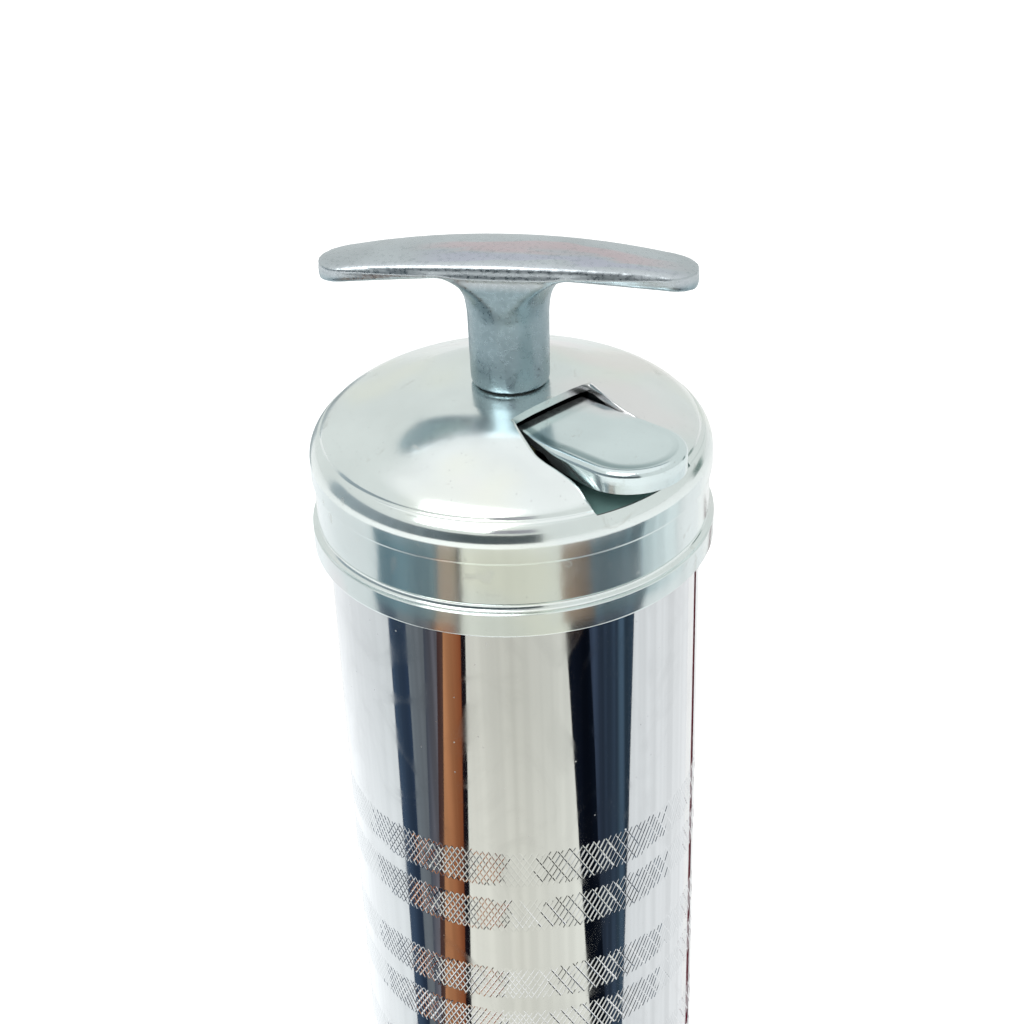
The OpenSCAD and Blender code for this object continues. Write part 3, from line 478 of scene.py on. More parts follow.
def cap_finish(base):
    """Plating of the cap, with painted shade on the walls and floor of the latch's pocket: black near the
    slot and a painted teal reflection further out.
    """
    f, tone = plating("plated_cap", base)
    radius = f.reach()
    height = f.level()
    out = f.along(math.cos(LATCH_TURN), math.sin(LATCH_TURN))
    ends = (PLATEAU[0] * MM, HAUNCH[0] * MM, CAP_Z + PLATEAU[1] * MM, CAP_Z + HAUNCH[1] * MM)
    surface = f.between(radius, *ends, "LINEAR")
    depth = f.sum(surface, height, "SUBTRACT")
    # Walls below the sheet's edge and the floor inside the rim are painted dark as shade, from the slot
    # outwards
    walls = f.between(depth, 1.15 * MM, 1.35 * MM)
    walls = f.times(walls, f.between(radius, 24.0 * MM, 25.5 * MM, 1.0, 0.0))
    bottom = f.between(height, CAP_Z + (FLOOR + 0.1) * MM, CAP_Z + (FLOOR + 0.3) * MM, 1.0, 0.0)
    bottom = f.times(bottom, f.between(radius, 28.3 * MM, 28.6 * MM, 1.0, 0.0))
    inside = f.times(f.sum(walls, bottom, "MAXIMUM"), f.between(out, 8.2 * MM, 8.7 * MM))
    # Painted shade and reflection: black near the slot, and further out a painted teal reflection of the
    # latch's skirt
    pocket_shade = f.mix(f.between(out, 17.0 * MM, 22.0 * MM), PAINTED_SHADE, (0.22, 0.38, 0.36))
    f.paint(f.mix(inside, tone, pocket_shade))
    # The painted shade is less metallic, so that its teal takes diffuse light
    f.set("Metallic", f.between(inside, 0.0, 1.0, 0.95, 0.35))
    return f.material


def latch_finish(base):
    """Plating of the latch, painted black as shade where the cap covers it, and with a painted dark
    reflection along the inside of its bend.
    """
    f, tone = plating("plated_latch", tuple(c * t for c, t in zip(base, LATCH_TINT)))
    # Painted dark reflection along the inside of the bend
    bend_shade = f.add("Attribute", attribute_name="bend_shade")["Fac"]
    tone = f.mix(f.between(bend_shade, 0.1, 1.0, 0.0, 0.8), tone, (0.20, 0.30, 0.31))
    out = f.along(math.cos(LATCH_TURN), math.sin(LATCH_TURN))
    # Painted shade: the plate is black where the cap covers it
    f.paint(f.mix(f.between(out, 8.45 * MM, 8.75 * MM), PAINTED_SHADE, tone))
    return f.material


def zinc_finish(bar, stem, level):
    """Satin die casting, finely grained, with painted shade that darkens the stem under the bar, and a rosy
    and a lilac streak along the bar.
    """
    f = Finish("cast_zinc", 1.0, bar, 0.33)
    grain = f.noise(1500.0, 4.0)
    cloud = f.noise(150.0, 4.0)
    streak = f.noise(140.0, 3.0, f.stretched(0.22, 1.0, 0.4), 0.6)
    height = f.level()
    along = f.along(math.cos(HANDLE_TURN), math.sin(HANDLE_TURN))
    across = f.along(-math.sin(HANDLE_TURN), math.cos(HANDLE_TURN))
    across = f.sum(across, f.between(streak, 0.3, 0.7, -1.6 * MM, 1.6 * MM))
    middle = f.window(along, -16 * MM, -4 * MM, 14 * MM, 30 * MM)
    rosy = f.window(across, -2.4 * MM, -0.8 * MM, 0.2 * MM, 1.8 * MM)
    lilac = f.window(across, -4.6 * MM, -3.4 * MM, -2.6 * MM, -1.4 * MM)
    on_bar = f.between(height, level - 1.5 * MM, level)
    tone = f.mix(f.between(cloud, 0.35, 0.65), bar, shade(bar, 0.9))
    tone = f.mix(f.between(f.times(rosy, middle), 0.0, 1.0, 0.0, 0.5), tone, (0.72, 0.50, 0.53))
    tone = f.mix(f.between(f.times(lilac, middle), 0.0, 1.0, 0.0, 0.5), tone, (0.52, 0.52, 0.66))
    # Painted shade: below the bar the casting takes the darker stem colour
    tone = f.mix(on_bar, f.mix(f.between(cloud, 0.35, 0.65), stem, shade(stem, 0.85)), tone)
    f.paint(f.mix(f.between(grain, 0.5, 0.3, 0.0, 0.2), tone, shade(stem, 0.6)))
    f.rough(f.between(grain, 0.3, 0.7, 0.24, 0.38))
    f.bump(f.sum(f.noise(1100.0, 4.0), f.noise(300.0, 3.0)), 0.00006, 0.5)
    return f.material


def casting_finish(base):
    """Cast light alloy with a fine skin."""
    f = Finish("cast_head", 1.0, base, 0.42)
    skin = f.noise(700.0, 5.0)
    cloud = f.noise(45.0, 4.0)
    tone = f.mix(f.between(cloud, 0.35, 0.7), shade(base, 0.92), shade(base, 1.06))
    f.paint(f.mix(f.between(skin, 0.3, 0.75, 0.0, 0.4), tone, shade(base, 0.8)))
    f.rough(f.between(skin, 0.25, 0.75, 0.34, 0.5))
    f.bump(skin, 0.0001, 0.5)
    return f.material


def turned_finish(name, base, roughness):
    """Turned metal with fine rings and a little staining."""
    f = Finish(name, 1.0, base, roughness)
    rings = f.noise(240.0, 2.0, f.stretched(4.0, 1.0, 1.0))
    cloud = f.noise(80.0, 4.0)
    f.paint(f.mix(f.between(cloud, 0.35, 0.7), base, shade(base, 0.88)))
    f.rough(f.between(rings, 0.3, 0.7, roughness * 0.8, roughness * 1.25))
    f.bump(rings, 0.00004, 0.3)
    return f.material


def paint_finish(base):
    """Satin paint with a fine texture and paler patches at random."""
    f = Finish("black_paint", 0.0, base, 0.4)
    skin = f.noise(1200.0, 3.0)
    cloud = f.noise(120.0, 4.0)
    f.paint(f.mix(f.between(cloud, 0.4, 0.8), base, shade(base, 1.7)))
    f.rough(f.between(cloud, 0.3, 0.7, 0.34, 0.5))
    f.bump(skin, 0.00008, 0.4)
    return f.material


def rubber_finish(base):
    """Matt rubber with a dusty bloom."""
    f = Finish("black_rubber", 0.0, base, 0.7)
    cloud = f.noise(150.0, 5.0)
    f.paint(f.mix(f.between(cloud, 0.35, 0.75), base, shade(base, 1.8)))
    f.rough(f.between(cloud, 0.3, 0.7, 0.62, 0.8))
    f.bump(cloud, 0.00005, 0.4)
    return f.material


FINISHES = {}
HANDLE_TURN = math.radians(-9.2)


def make_finishes(looks):
    """All the finishes, by the record's slot names."""
    head = looks.head
    FINISHES["chrome_barrel"] = chrome_finish(looks.barrel.chrome)
    FINISHES["plated_cap"] = cap_finish(looks.cap.plate)
    FINISHES["plated_latch"] = latch_finish(looks.cap.plate)
    handle = looks.handle
    stem_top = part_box("pull_handle")[0][2] + handle.stem_top
    FINISHES["cast_zinc"] = zinc_finish(handle.zinc, handle.stem, stem_top)
    FINISHES["cast_head"] = casting_finish(head.casting)
    FINISHES["bright_steel"] = turned_finish("bright_steel", head.steel, 0.22)
    FINISHES["spring_steel"] = turned_finish("spring_steel", head.spring, 0.35)
    FINISHES["brass"] = turned_finish("brass", head.brass, 0.24)
    FINISHES["black_paint"] = paint_finish(head.paint)
    FINISHES["black_rubber"] = rubber_finish(head.rubber)


# Barrel


class RolledSkin:
    """Outside of the barrel: plain lengths and bands of crossed rolled lines."""

    lean = math.tan(math.radians(30))

    def __init__(self, radius, lines, line_half, line_deep, seed):
        self.radius = radius
        self.lines = lines
        self.pitch = TURN * radius / lines
        self.half = line_half
        self.deep = line_deep
        self.random = random.Random(seed)
        self.verts = []
        self.plain = []
        self.faces = []

    def point(self, angle, z, depth):
        r = self.radius - depth
        self.verts.append((r * math.sin(angle), -r * math.cos(angle), z))
        self.plain.append(depth < 1e-9)
        return len(self.verts) - 1

    def circle(self, z, count, depth=0.0):
        """Ring of points, as angle and index."""
        return [(TURN * k / count, self.point(TURN * k / count, z, depth)) for k in range(count)]

    def bridge(self, low, high):
        """Plain skin between two rings of points."""
        i = j = 0
        while i < len(low) or j < len(high):
            next_low = low[(i + 1) % len(low)][0] + (TURN if i + 1 >= len(low) else 0)
            next_high = high[(j + 1) % len(high)][0] + (TURN if j + 1 >= len(high) else 0)
            a = low[i % len(low)][1]
            b = high[j % len(high)][1]
            if j >= len(high) or (i < len(low) and next_low <= next_high):
                self.faces.append((a, low[(i + 1) % len(low)][1], b))
                i += 1
            else:
                self.faces.append((a, high[(j + 1) % len(high)][1], b))
                j += 1

    def line_set(self, low, high, way):
        """Depth, shift and ragged ends of the lines that lean one way; one side has every other line."""
        ragged = 0.35 * MM
        climb = way * self.lean * (low + high) / 2
        rows = []
        for i in range(self.lines):
            strength = self.random.uniform(0.75, 1.1)
            turn = (i * self.pitch + climb) / self.radius % TURN
            if way < 0 and i % 2 and turn < math.pi:
                strength = 0.0
            shift = self.random.uniform(-0.06, 0.06) * self.pitch
            start = low - self.random.uniform(0, ragged)
            end = high + self.random.uniform(0, ragged)
            rows.append((strength, shift, start, end))
        return rows

    def band(self, low, high):
        """Band of crossed lines; gives its lower and upper ring of points."""
        margin = 0.42 * MM
        fade = 0.3 * MM
        bottom = low - margin
        top = high + margin
        up = self.line_set(low, high, 1)
        down = self.line_set(low, high, -1)
        n = self.lines
        wide = 3 * n
        around = TURN * self.radius
        known = {}
        edge_points = {}
        rings = {bottom: {}, top: {}}

        def along(index, rows):
            line, part = divmod(index, 3)
            laps, line = divmod(line, n)
            return line, part, laps * around + line * self.pitch + rows[line][1] + (part - 1) * self.half

        def groove(row, part, t):
            strength, shift, start, end = row
            if part != 1 or not start < t < end:
                return 0.0
            return self.deep * strength * min(1.0, (t - start) / fade, (end - t) / fade)

        def corner(p, q):
            laps = p // wide
            key = (p - laps * wide, q - laps * wide)
            if key not in known:
                line_a, part_a, a = along(key[0], up)
                line_b, part_b, b = along(key[1], down)
                s = (a + b) / 2
                t = (b - a) / (2 * self.lean)
                known[key] = (s, t, max(groove(up[line_a], part_a, t), groove(down[line_b], part_b, t)), key)
            return known[key]

        def index_of(item):
            if item[3] not in edge_points:
                edge_points[item[3]] = self.point(item[0] / self.radius, item[1], item[2])
            return edge_points[item[3]]

        def clip(polygon, level, keep_above):
            out = []
            for k, here in enumerate(polygon):
                there = polygon[(k + 1) % len(polygon)]
                in_here = (here[1] >= level) == keep_above
                in_there = (there[1] >= level) == keep_above
                if in_here:
                    out.append(here)
                if in_here != in_there:
                    share = (level - here[1]) / (there[1] - here[1])
                    s = here[0] + (there[0] - here[0]) * share
                    turn = round((s / around) % 1.0, 7)
                    out.append((s, level, 0.0, ("ring", level, turn % 1.0)))
            return out

        reach = int((top - bottom) * 2 * self.lean / self.pitch) + 3
        base = int(bottom * 2 * self.lean / self.pitch) - 1
        for i in range(n):
            for j in range(i + base, i + base + reach + 1):
                for k in range(3):
                    for m in range(3):
                        p = 3 * i + k
                        q = 3 * j + m
                        shape = [corner(p, q), corner(p + 1, q), corner(p + 1, q + 1), corner(p, q + 1)]
                        # Corners past a full lap come back near the start, so they are unrolled again
                        laps = [(p + d) // wide for d in (0, 1, 1, 0)]
                        shape = [(c[0] + lap * around, c[1], c[2], c[3]) for c, lap in zip(shape, laps)]
                        heights = [c[1] for c in shape]
                        if max(heights) <= bottom or min(heights) >= top:
                            continue
                        if min(heights) < bottom:
                            shape = clip(shape, bottom, True)
                        if max(heights) > top:
                            shape = clip(shape, top, False)
                        face = []
                        for item in shape:
                            number = index_of(item)
                            if item[3][0] == "ring":
                                rings[item[3][1]][number] = (item[0] % around) / self.radius
                            if number not in face:
                                face.append(number)
                        if len(face) > 2:
                            self.faces.append(tuple(face))
        return [sorted((a, number) for number, a in rings[level].items()) for level in (bottom, top)]

    def build(self, name, bottom, top, bands, bore):
        """Whole barrel with its bore and ends."""
        plain_count = 240
        bevel = 0.3 * MM
        ring = self.circle(bottom, plain_count)
        first = ring
        for low, high in bands:
            band_low, band_high = self.band(low, high)
            self.bridge(ring, band_low)
            ring = band_high
        last = self.circle(top - bevel, plain_count)
        self.bridge(ring, last)
        outside_faces = len(self.faces)
        rings = [last]
        for r, z in ((self.radius - bevel, top), (bore, top), (bore, bottom)):
            rings.append(self.circle(z, plain_count, self.radius - r))
        rings.append(first)
        for lower, upper in zip(rings, rings[1:]):
            for k in range(plain_count):
                m = (k + 1) % plain_count
                self.faces.append((lower[k][1], lower[m][1], upper[m][1], upper[k][1]))
        obj = link_mesh(name, self.verts, self.faces)
        mesh = obj.data
        mesh.polygons.foreach_set("use_smooth", [True] * len(mesh.polygons))
        normals = []
        for face in mesh.polygons:
            flat = face.index < outside_faces and all(self.plain[v] for v in face.vertices)
            for v in face.vertices:
                if flat:
                    normals.append(Vector((mesh.vertices[v].co.x, mesh.vertices[v].co.y, 0)).normalized())
                else:
                    normals.append(face.normal.copy())
        mesh.normals_split_custom_set(normals)
        return obj


class GREASE_OT_barrel(bpy.types.Operator):
    """Chromed barrel with pairs of bands of crossed rolled lines"""

    bl_idname = "grease_gun.barrel"
    bl_label = "Chromed barrel"

    def execute(self, context):
        looks = context.scene.grease_gun.barrel
        bands = []
        for pair in range(looks.pairs):
            top = CAP_Z - looks.first_band - pair * looks.pair_pitch
            for high in (top, top - looks.band_wide - looks.band_gap):
                bands.append((high - looks.band_wide, high))
        skin = RolledSkin(BARREL_R, looks.lines, looks.line_half, looks.line_deep, 7)
        obj = skin.build("rolled_barrel", BARREL_LOW[2], BARREL_HIGH[2], sorted(bands), BORE_R)
        settle(obj, FINISHES["chrome_barrel"], "gun", "chrome_barrel", "barrel")
        return {"FINISHED"}


# Cap and latch, in millimetres from the cap's lower edge

CAP_INSIDE = 28.1
BEAD_R = 30.05
BEAD_HIGH = 3.8
BAND_R = 29.3
UNDERCUT = 0.35
BAND_FOOT = 5.1
STEP = 11.5
SHOULDER_R = 29.7
RIM_ROUND = 4.4
RIM_FROM = math.radians(41)
HOLE_R = 4.4
LEDGE = 15.9
FLOOR = 17.1
CREASE = (28.19, 17.6)
CREASE_WIDE = 0.5
CREASE_DEEP = 0.05
HAUNCH = (23.99, 20.5)
HAUNCH_PULL = (26.3, 19.68)
PLATEAU = (12.5, 24.6)
PLATEAU_LEAD = (16.0, 23.35)
CREST = 24.9
LATCH_TURN = math.radians(-48)
SLOT_FROM = 8.9
SLOT_HALF = 7.2
# Half of the pocket's width at distances from the rod's axis, on its near and its far side
NEAR_EDGE = [
    (8.9, 7.2), (11.9, 8.3), (14.5, 9.1), (15.8, 9.4), (17.5, 9.3),
    (19.5, 8.9), (22.0, 8.6), (24.0, 8.7), (27.0, 9.3),
]
FAR_EDGE = [
    (8.9, 7.2), (14.6, 7.15), (16.2, 7.35), (17.6, 7.85),
    (19.0, 8.15), (20.5, 8.6), (22.0, 9.2), (27.0, 9.4),
]


def cap_outside():
    """Outside of the cap from its lower edge to the rod's hole."""
    bead = [(CAP_INSIDE, 0, 0), (BEAD_R, 0, 0.5), (BEAD_R, BEAD_HIGH, 0.2), (BEAD_R - 0.22, BEAD_HIGH, 0)]
    line = rounded(bead)
    groove = BAND_R - UNDERCUT
    line += bend((BEAD_R - 0.24, BEAD_HIGH), (groove, BEAD_HIGH), (groove, BAND_FOOT - 0.25), 12)
    line += [(groove + 0.08, BAND_FOOT - 0.08), (groove + 0.22, BAND_FOOT + 0.02)]
    step_top = STEP + SHOULDER_R - BAND_R
    rim = (SHOULDER_R - RIM_ROUND, CREASE[1] - RIM_ROUND * math.cos(RIM_FROM))
    line += rounded([(BAND_R, BAND_FOOT + 0.1, 0), (BAND_R, STEP, 0.15), (SHOULDER_R, step_top, 0.25),
                     (SHOULDER_R, rim[1] - 0.1, 0)])
    for k in range(17):
        a = (math.pi / 2 - RIM_FROM) * k / 16
        line.append((rim[0] + RIM_ROUND * math.cos(a), rim[1] + RIM_ROUND * math.sin(a)))
    dip = (CREASE[0] - CREASE_WIDE / 2, CREASE[1] - CREASE_DEEP)
    inner = (CREASE[0] - CREASE_WIDE, CREASE[1] + CREASE_WIDE)
    line += bend((CREASE[0] - 0.08, CREASE[1] + 0.02), dip, inner, 6)
    line += bend((inner[0] - 0.04, inner[1] + 0.05), HAUNCH_PULL, HAUNCH, 16)
    line += bend(PLATEAU_LEAD, PLATEAU, (PLATEAU[0] - 3.0, CREST), 14)
    line.append((HOLE_R, CREST))
    return line


def cap_inside(sheet):
    """Inside of the cap from the rod's hole to its lower edge."""
    wall = HAUNCH[0] - sheet / 2
    return [
        (HOLE_R, CREST - sheet),
        (PLATEAU[0] - 3.0, CREST - sheet),
        (PLATEAU[0], PLATEAU[1] - 1.06 * sheet),
        (wall, HAUNCH[1] - 0.88 * sheet),
        (wall, LEDGE),
        (CAP_INSIDE, LEDGE),
    ]


def dome_height(r):
    """Height of the cap's outside at a radius inside its ring."""
    line = dome_height.line
    for (r0, z0), (r1, z1) in zip(line, line[1:]):
        if r1 <= r <= r0:
            return z0 + (z1 - z0) * (r0 - r) / max(r0 - r1, 1e-9)
    return line[-1][1] if r < line[-1][0] else line[0][1]


def on_latch(x, y, z):
    """Point in the row frame from one out along the latch, across it and up from the cap's edge."""
    c = math.cos(LATCH_TURN)
    s = math.sin(LATCH_TURN)
    return ((x * c - y * s) * MM, (x * s + y * c) * MM, CAP_Z + z * MM)


def pocket_half(x, edge):
    """Half of the pocket's width at a distance from the rod's axis, smoothed along one of its edges."""
    total = 0.0
    for shift in (-0.6, -0.3, 0.0, 0.3, 0.6):
        place = min(edge[-1][0], max(edge[0][0], x + shift))
        for (x0, y0), (x1, y1) in zip(edge, edge[1:]):
            if x0 <= place <= x1:
                total += y0 + (y1 - y0) * (place - x0) / (x1 - x0)
                break
    return total / 5


def pocket_cutter(rim, foot):
    """Tool that sinks the latch's pocket into the dome, with a rounded rim and floor."""
    sections = []
    steps = 64
    arc = 7
    lift = 3.0
    end = 32.0
    for i in range(steps + 1):
        x = SLOT_FROM + (end - SLOT_FROM) * i / steps
        flanks = []
        for edge in (NEAR_EDGE, FAR_EDGE):
            half = pocket_half(x, edge)
            height = max(0.05, dome_height(math.hypot(x, half)) - FLOOR)
            rim_r = min(rim, 0.45 * height)
            # The far rim gets tighter where the tongue comes close to it
            if edge is FAR_EDGE:
                rim_r *= min(1.0, max(0.25, (13.0 - x) / 3.0))
            foot_r = min(foot, 0.45 * height)
            side = []
            for k in range(arc + 1):
                a = math.pi / 2 * k / arc
                side.append((half - foot_r + foot_r * math.sin(a), FLOOR + foot_r - foot_r * math.cos(a)))
            for k in range(arc + 1):
                a = math.radians(78) * k / arc
                y = half + rim_r * (1 - math.cos(a))
                z = dome_height(math.hypot(x, y)) - rim_r * (1 - math.sin(a))
                side.append((y, max(FLOOR + foot_r, z)))
            side.append((side[-1][0] + 0.25, CREST + lift))
            flanks.append(side)
        section = [on_latch(x, -y, z) for y, z in reversed(flanks[0])]
        section += [on_latch(x, y, z) for y, z in flanks[1]]
        sections.append(section)
    return loft("pocket_cutter", sections)


def pocket_tray(sheet):
    """Solid under the pocket that its floor and walls are left from."""
    rows = 24
    across = 16
    edge_r = 26.6
    start = SLOT_FROM + 0.05
    sections = []
    for i in range(rows + 1):
        section = []
        for level in (0, 1):
            columns = range(across + 1)
            for k in columns if level == 0 else reversed(columns):
                edge = NEAR_EDGE if 2 * k < across else FAR_EDGE
                half = pocket_half(start + (edge_r - start) * i / rows, edge) + sheet
                y = half * (2 * k / across - 1)
                end = math.sqrt(edge_r * edge_r - y * y)
                x = start + (end - start) * i / rows
                top = max(LEDGE + 0.5, dome_height(math.hypot(x, y)) - 0.6)
                section.append(on_latch(x, y, LEDGE if level == 0 else top))
        sections.append(section)
    return loft("pocket_tray", sections)


class GREASE_OT_cap(bpy.types.Operator):
    """Pressed end cap with the latch's pocket sunk into its dome"""

    bl_idname = "grease_gun.cap"
    bl_label = "End cap"

    def execute(self, context):
        looks = context.scene.grease_gun.cap
        outside = cap_outside()
        dome_height.line = [p for p in outside if p[1] > FLOOR]
        profile = [(r * MM, CAP_Z + z * MM) for r, z in outside + cap_inside(looks.sheet / MM)]
        obj = lathe("pressed_cap", profile, 256)
        combine(obj, pocket_tray(looks.sheet / MM), "UNION")
        combine(obj, pocket_cutter(looks.rim_round / MM, looks.floor_round / MM), "DIFFERENCE")
        drop_flaps(obj)
        smooth_shade(obj, 32)
        settle(obj, FINISHES["plated_cap"], "gun", "plated_cap", "end_cap")
        return {"FINISHED"}


LATCH_SHEET = 1.3
LATCH_TOP = 22.7
TONGUE_BACK = 6.5
TONGUE_HALF = 7.8
TONGUE_TIP = 32.4
SKIRT_FROM = 17.5
SKIRT_HIGH = 3.4
RISE = math.radians(3)
# Half of the latch's width and height of its skirt at distances from the rod's axis
LATCH_NEAR = [(6.5, 6.4), (9.0, 6.6), (12.5, 7.3), (16.5, 7.8), (27.0, 7.8)]
LATCH_FAR = [(6.5, 6.4), (9.0, 6.6), (14.6, 6.95), (17.5, 7.6), (20.0, 7.8), (27.0, 7.8)]
SKIRT_LINE = [(6.5, 1.3), (15.6, 1.4), (16.4, 2.1), (19.0, 2.8), (23.0, 3.3), (27.0, SKIRT_HIGH)]
BEND_LINE = [(6.5, 0.35), (14.0, 0.35), (18.0, 1.0), (27.0, 1.0)]


def tongue_outline(back):
    """Outline of the tongue, open at its root: distance, half width and direction of each point."""
    middle = TONGUE_TIP - TONGUE_HALF
    sides = 40
    round_steps = 28
    points = []
    for k in range(sides):
        x = back + (middle - back) * k / sides
        points.append((x, pocket_half(x, LATCH_NEAR), -math.pi / 2))
    for k in range(round_steps + 1):
        points.append((middle, TONGUE_HALF, -math.pi / 2 + math.pi * k / round_steps))
    for k in range(sides - 1, -1, -1):
        x = back + (middle - back) * k / sides
        points.append((x, pocket_half(x, LATCH_FAR), math.pi / 2))
    return points


def tongue_rise(x):
    """Height that the tongue has gained at a distance from the rod's axis."""
    blend = 2.0
    slope = math.tan(RISE)
    if x < SKIRT_FROM - blend:
        return 0.0
    if x < SKIRT_FROM + blend:
        return slope * (x - SKIRT_FROM + blend) ** 2 / (4 * blend)
    return slope * (x - SKIRT_FROM)


def tongue_section(x, steps=7):
    """Section of the sheet from its spine over the bend, round the skirt and back: inset, height, and share
    of painted dark reflection along the bend.
    """
    turn = pocket_half(x, BEND_LINE)
    foot = pocket_half(x, SKIRT_LINE)
    crown = 0.1
    # The third value of each level is the share of painted dark reflection along the bend
    levels = [(TONGUE_HALF, crown, 0.0), (5.2, crown, 0.0), (3.2, 0.8 * crown, 0.0)]
    levels += [(turn + 2.0, 0.6 * crown, 0.0), (turn + 1.0, 0.3 * crown, 0.8), (turn + 0.4, 0.1 * crown, 1.0)]
    for k in range(steps + 1):
        a = math.pi / 2 * k / steps
        levels.append((turn * (1 - math.sin(a)), -turn * (1 - math.cos(a)), 0.3 if k == 0 else 0.0))
    levels.append((0.0, -(turn + foot) / 2, 0.0))
    levels.append((0.0, -foot, 0.0))
    levels.append((LATCH_SHEET * 0.85, -foot, 0.0))
    levels.append((LATCH_SHEET, -min(foot - 0.02, LATCH_SHEET + 0.3), 0.0))
    levels.append((LATCH_SHEET + 0.3, -LATCH_SHEET, 0.0))
    levels.append((5.2, crown - LATCH_SHEET, 0.0))
    levels.append((TONGUE_HALF, crown - LATCH_SHEET, 0.0))
    return levels


def tongue():
    """Pressed tongue with a turned-down skirt, open at its root."""
    outline = tongue_outline(TONGUE_BACK)
    rings = []
    for x, half, direction in outline:
        ring = []
        for inset, z, bend_shade in tongue_section(x):
            reach = max(0.0, half - inset)
            out = x + reach * math.cos(direction)
            # The painted dark reflection is full on the near side and falls to a fifth on the far side
            bend_shade *= 0.6 - 0.4 * math.sin(direction)
            ring.append((on_latch(out, reach * math.sin(direction), LATCH_TOP + tongue_rise(out) + z), bend_shade))
        rings.append(ring)
    levels = len(rings[0])
    count = len(rings)
    verts = [rings[k][i][0] for i in range(levels) for k in range(count)]
    folds = [rings[k][i][1] for i in range(levels) for k in range(count)]
    faces = []
    for i in range(levels - 1):
        for k in range(count - 1):
            low = i * count + k
            faces.append((low, low + 1, low + count + 1, low + count))
    faces.append(tuple(i * count for i in range(levels)))
    faces.append(tuple(i * count + count - 1 for i in range(levels)))
    obj = link_mesh("thumb_latch", verts, faces)
    # This attribute carries the painted dark reflection along the bend to the latch's finish
    obj.data.attributes.new("bend_shade", "FLOAT", "POINT").data.foreach_set("value", folds)
    outward(obj, 0.002 * MM)
    return obj


def latch_plate():
    """Locking plate round the rod, up to the tongue's root."""
    half = SLOT_HALF - 0.3
    neck = 6.0
    tail = 12.0
    steps = 16
    start = math.asin(half / tail)
    plan = [(6.4, -half), (6.4, -neck), (8.0, -neck), (8.0, neck), (6.4, neck), (6.4, half)]
    for k in range(steps + 1):
        a = math.pi - start + 2 * start * k / steps
        plan.append((tail * math.cos(a), tail * math.sin(a)))
    low = [on_latch(x, y, LATCH_TOP - LATCH_SHEET + 0.05) for x, y in plan]
    high = [on_latch(x, y, LATCH_TOP - 0.05) for x, y in plan]
    obj = loft("latch_plate", [low, high])
    rings = []
    for z in (LATCH_TOP - 3, LATCH_TOP + 3):
        rings.append([(x * MM, y * MM, CAP_Z + z * MM) for x, y in circle_points(HOLE_R, 64)])
    combine(obj, loft("rod_hole", rings), "DIFFERENCE")
    return obj


class GREASE_OT_latch(bpy.types.Operator):
    """Thumb latch: a locking plate with a pressed tongue"""

    bl_idname = "grease_gun.latch"
    bl_label = "Thumb latch"

    def execute(self, context):
        obj = tongue()
        combine(obj, latch_plate(), "UNION")
        smooth_shade(obj, 40)
        settle(obj, FINISHES["plated_latch"], "latch", "plated_cap", "latch_lever")
        return {"FINISHED"}


# Handle, head and trigger


class GREASE_OT_handle(bpy.types.Operator):
    """Die-cast T-shaped pull handle with rounded edges and a parting line"""

    bl_idname = "grease_gun.handle"
    bl_label = "Pull handle"

    def execute(self, context):
        looks = context.scene.grease_gun.handle
        obj = cast_copy("cast_handle", "pull_handle", looks.grain, 40)
        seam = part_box("pull_handle")[1][2] - looks.seam_down
        spread = 0.4 * MM
        drop_from = 8 * MM
        drop_over = 16 * MM
        normals = [v.normal.copy() for v in obj.data.vertices]
        for v, normal in zip(obj.data.vertices, normals):
            out = v.co.x * math.cos(HANDLE_TURN) + v.co.y * math.sin(HANDLE_TURN)
            share = min(1.0, max(0.0, (abs(out) - drop_from) / drop_over))
            under = min(1.0, max(0.0, 0.5 - normal.z))
            v.co.z -= looks.tip_drop * share * under
            v.co.x += looks.play
            away = abs(v.co.z - seam) / spread
            if away < 1 and abs(normal.z) < 0.75:
                flat = Vector((normal.x, normal.y, 0)).normalized()
                v.co += flat * looks.parting * (1 - away * away)
        smooth_shade(obj, 60)
        settle(obj, FINISHES["cast_zinc"], "rod", "cast_zinc", "pull_handle")
        return {"FINISHED"}


def plunger_path():
    """Bore that the plunger runs in, over the whole of its stroke."""
    low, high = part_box("plunger")
    radius = (high[1] - low[1]) / 2 + 0.25 * MM
    middle = (low[2] + high[2]) / 2
    stroke = 26 * MM
    past_tip = 3 * MM
    rings = []
    for x in (low[0], high[0] + stroke + past_tip):
        rings.append([(x, y, middle + z) for y, z in circle_points(radius, 48)])
    return loft("plunger_path", rings)


class GREASE_OT_head(bpy.types.Operator):
    """Cast head with collar, air cylinder and grip"""

    bl_idname = "grease_gun.head"
    bl_label = "Cast head"

    def execute(self, context):
        looks = context.scene.grease_gun.head
        obj = cast_copy("cast_head", "head_casting", looks.grain, 3)
        combine(obj, plunger_path(), "DIFFERENCE")
        smooth_shade(obj, 60)
        settle(obj, FINISHES["cast_head"], "gun", "cast_head", "head_casting")
        obj.visible_glossy = False
        return {"FINISHED"}


class GREASE_OT_trigger(bpy.types.Operator):
    """Painted trigger with rounded edges"""

    bl_idname = "grease_gun.trigger"
    bl_label = "Trigger"

    def execute(self, context):
        obj = cast_copy("painted_trigger", "trigger", 0.35 * MM, 6)
        smooth_shade(obj, 60)
        settle(obj, FINISHES["black_paint"], "trigger", "black_paint", "trigger")
        obj.visible_glossy = False
        return {"FINISHED"}


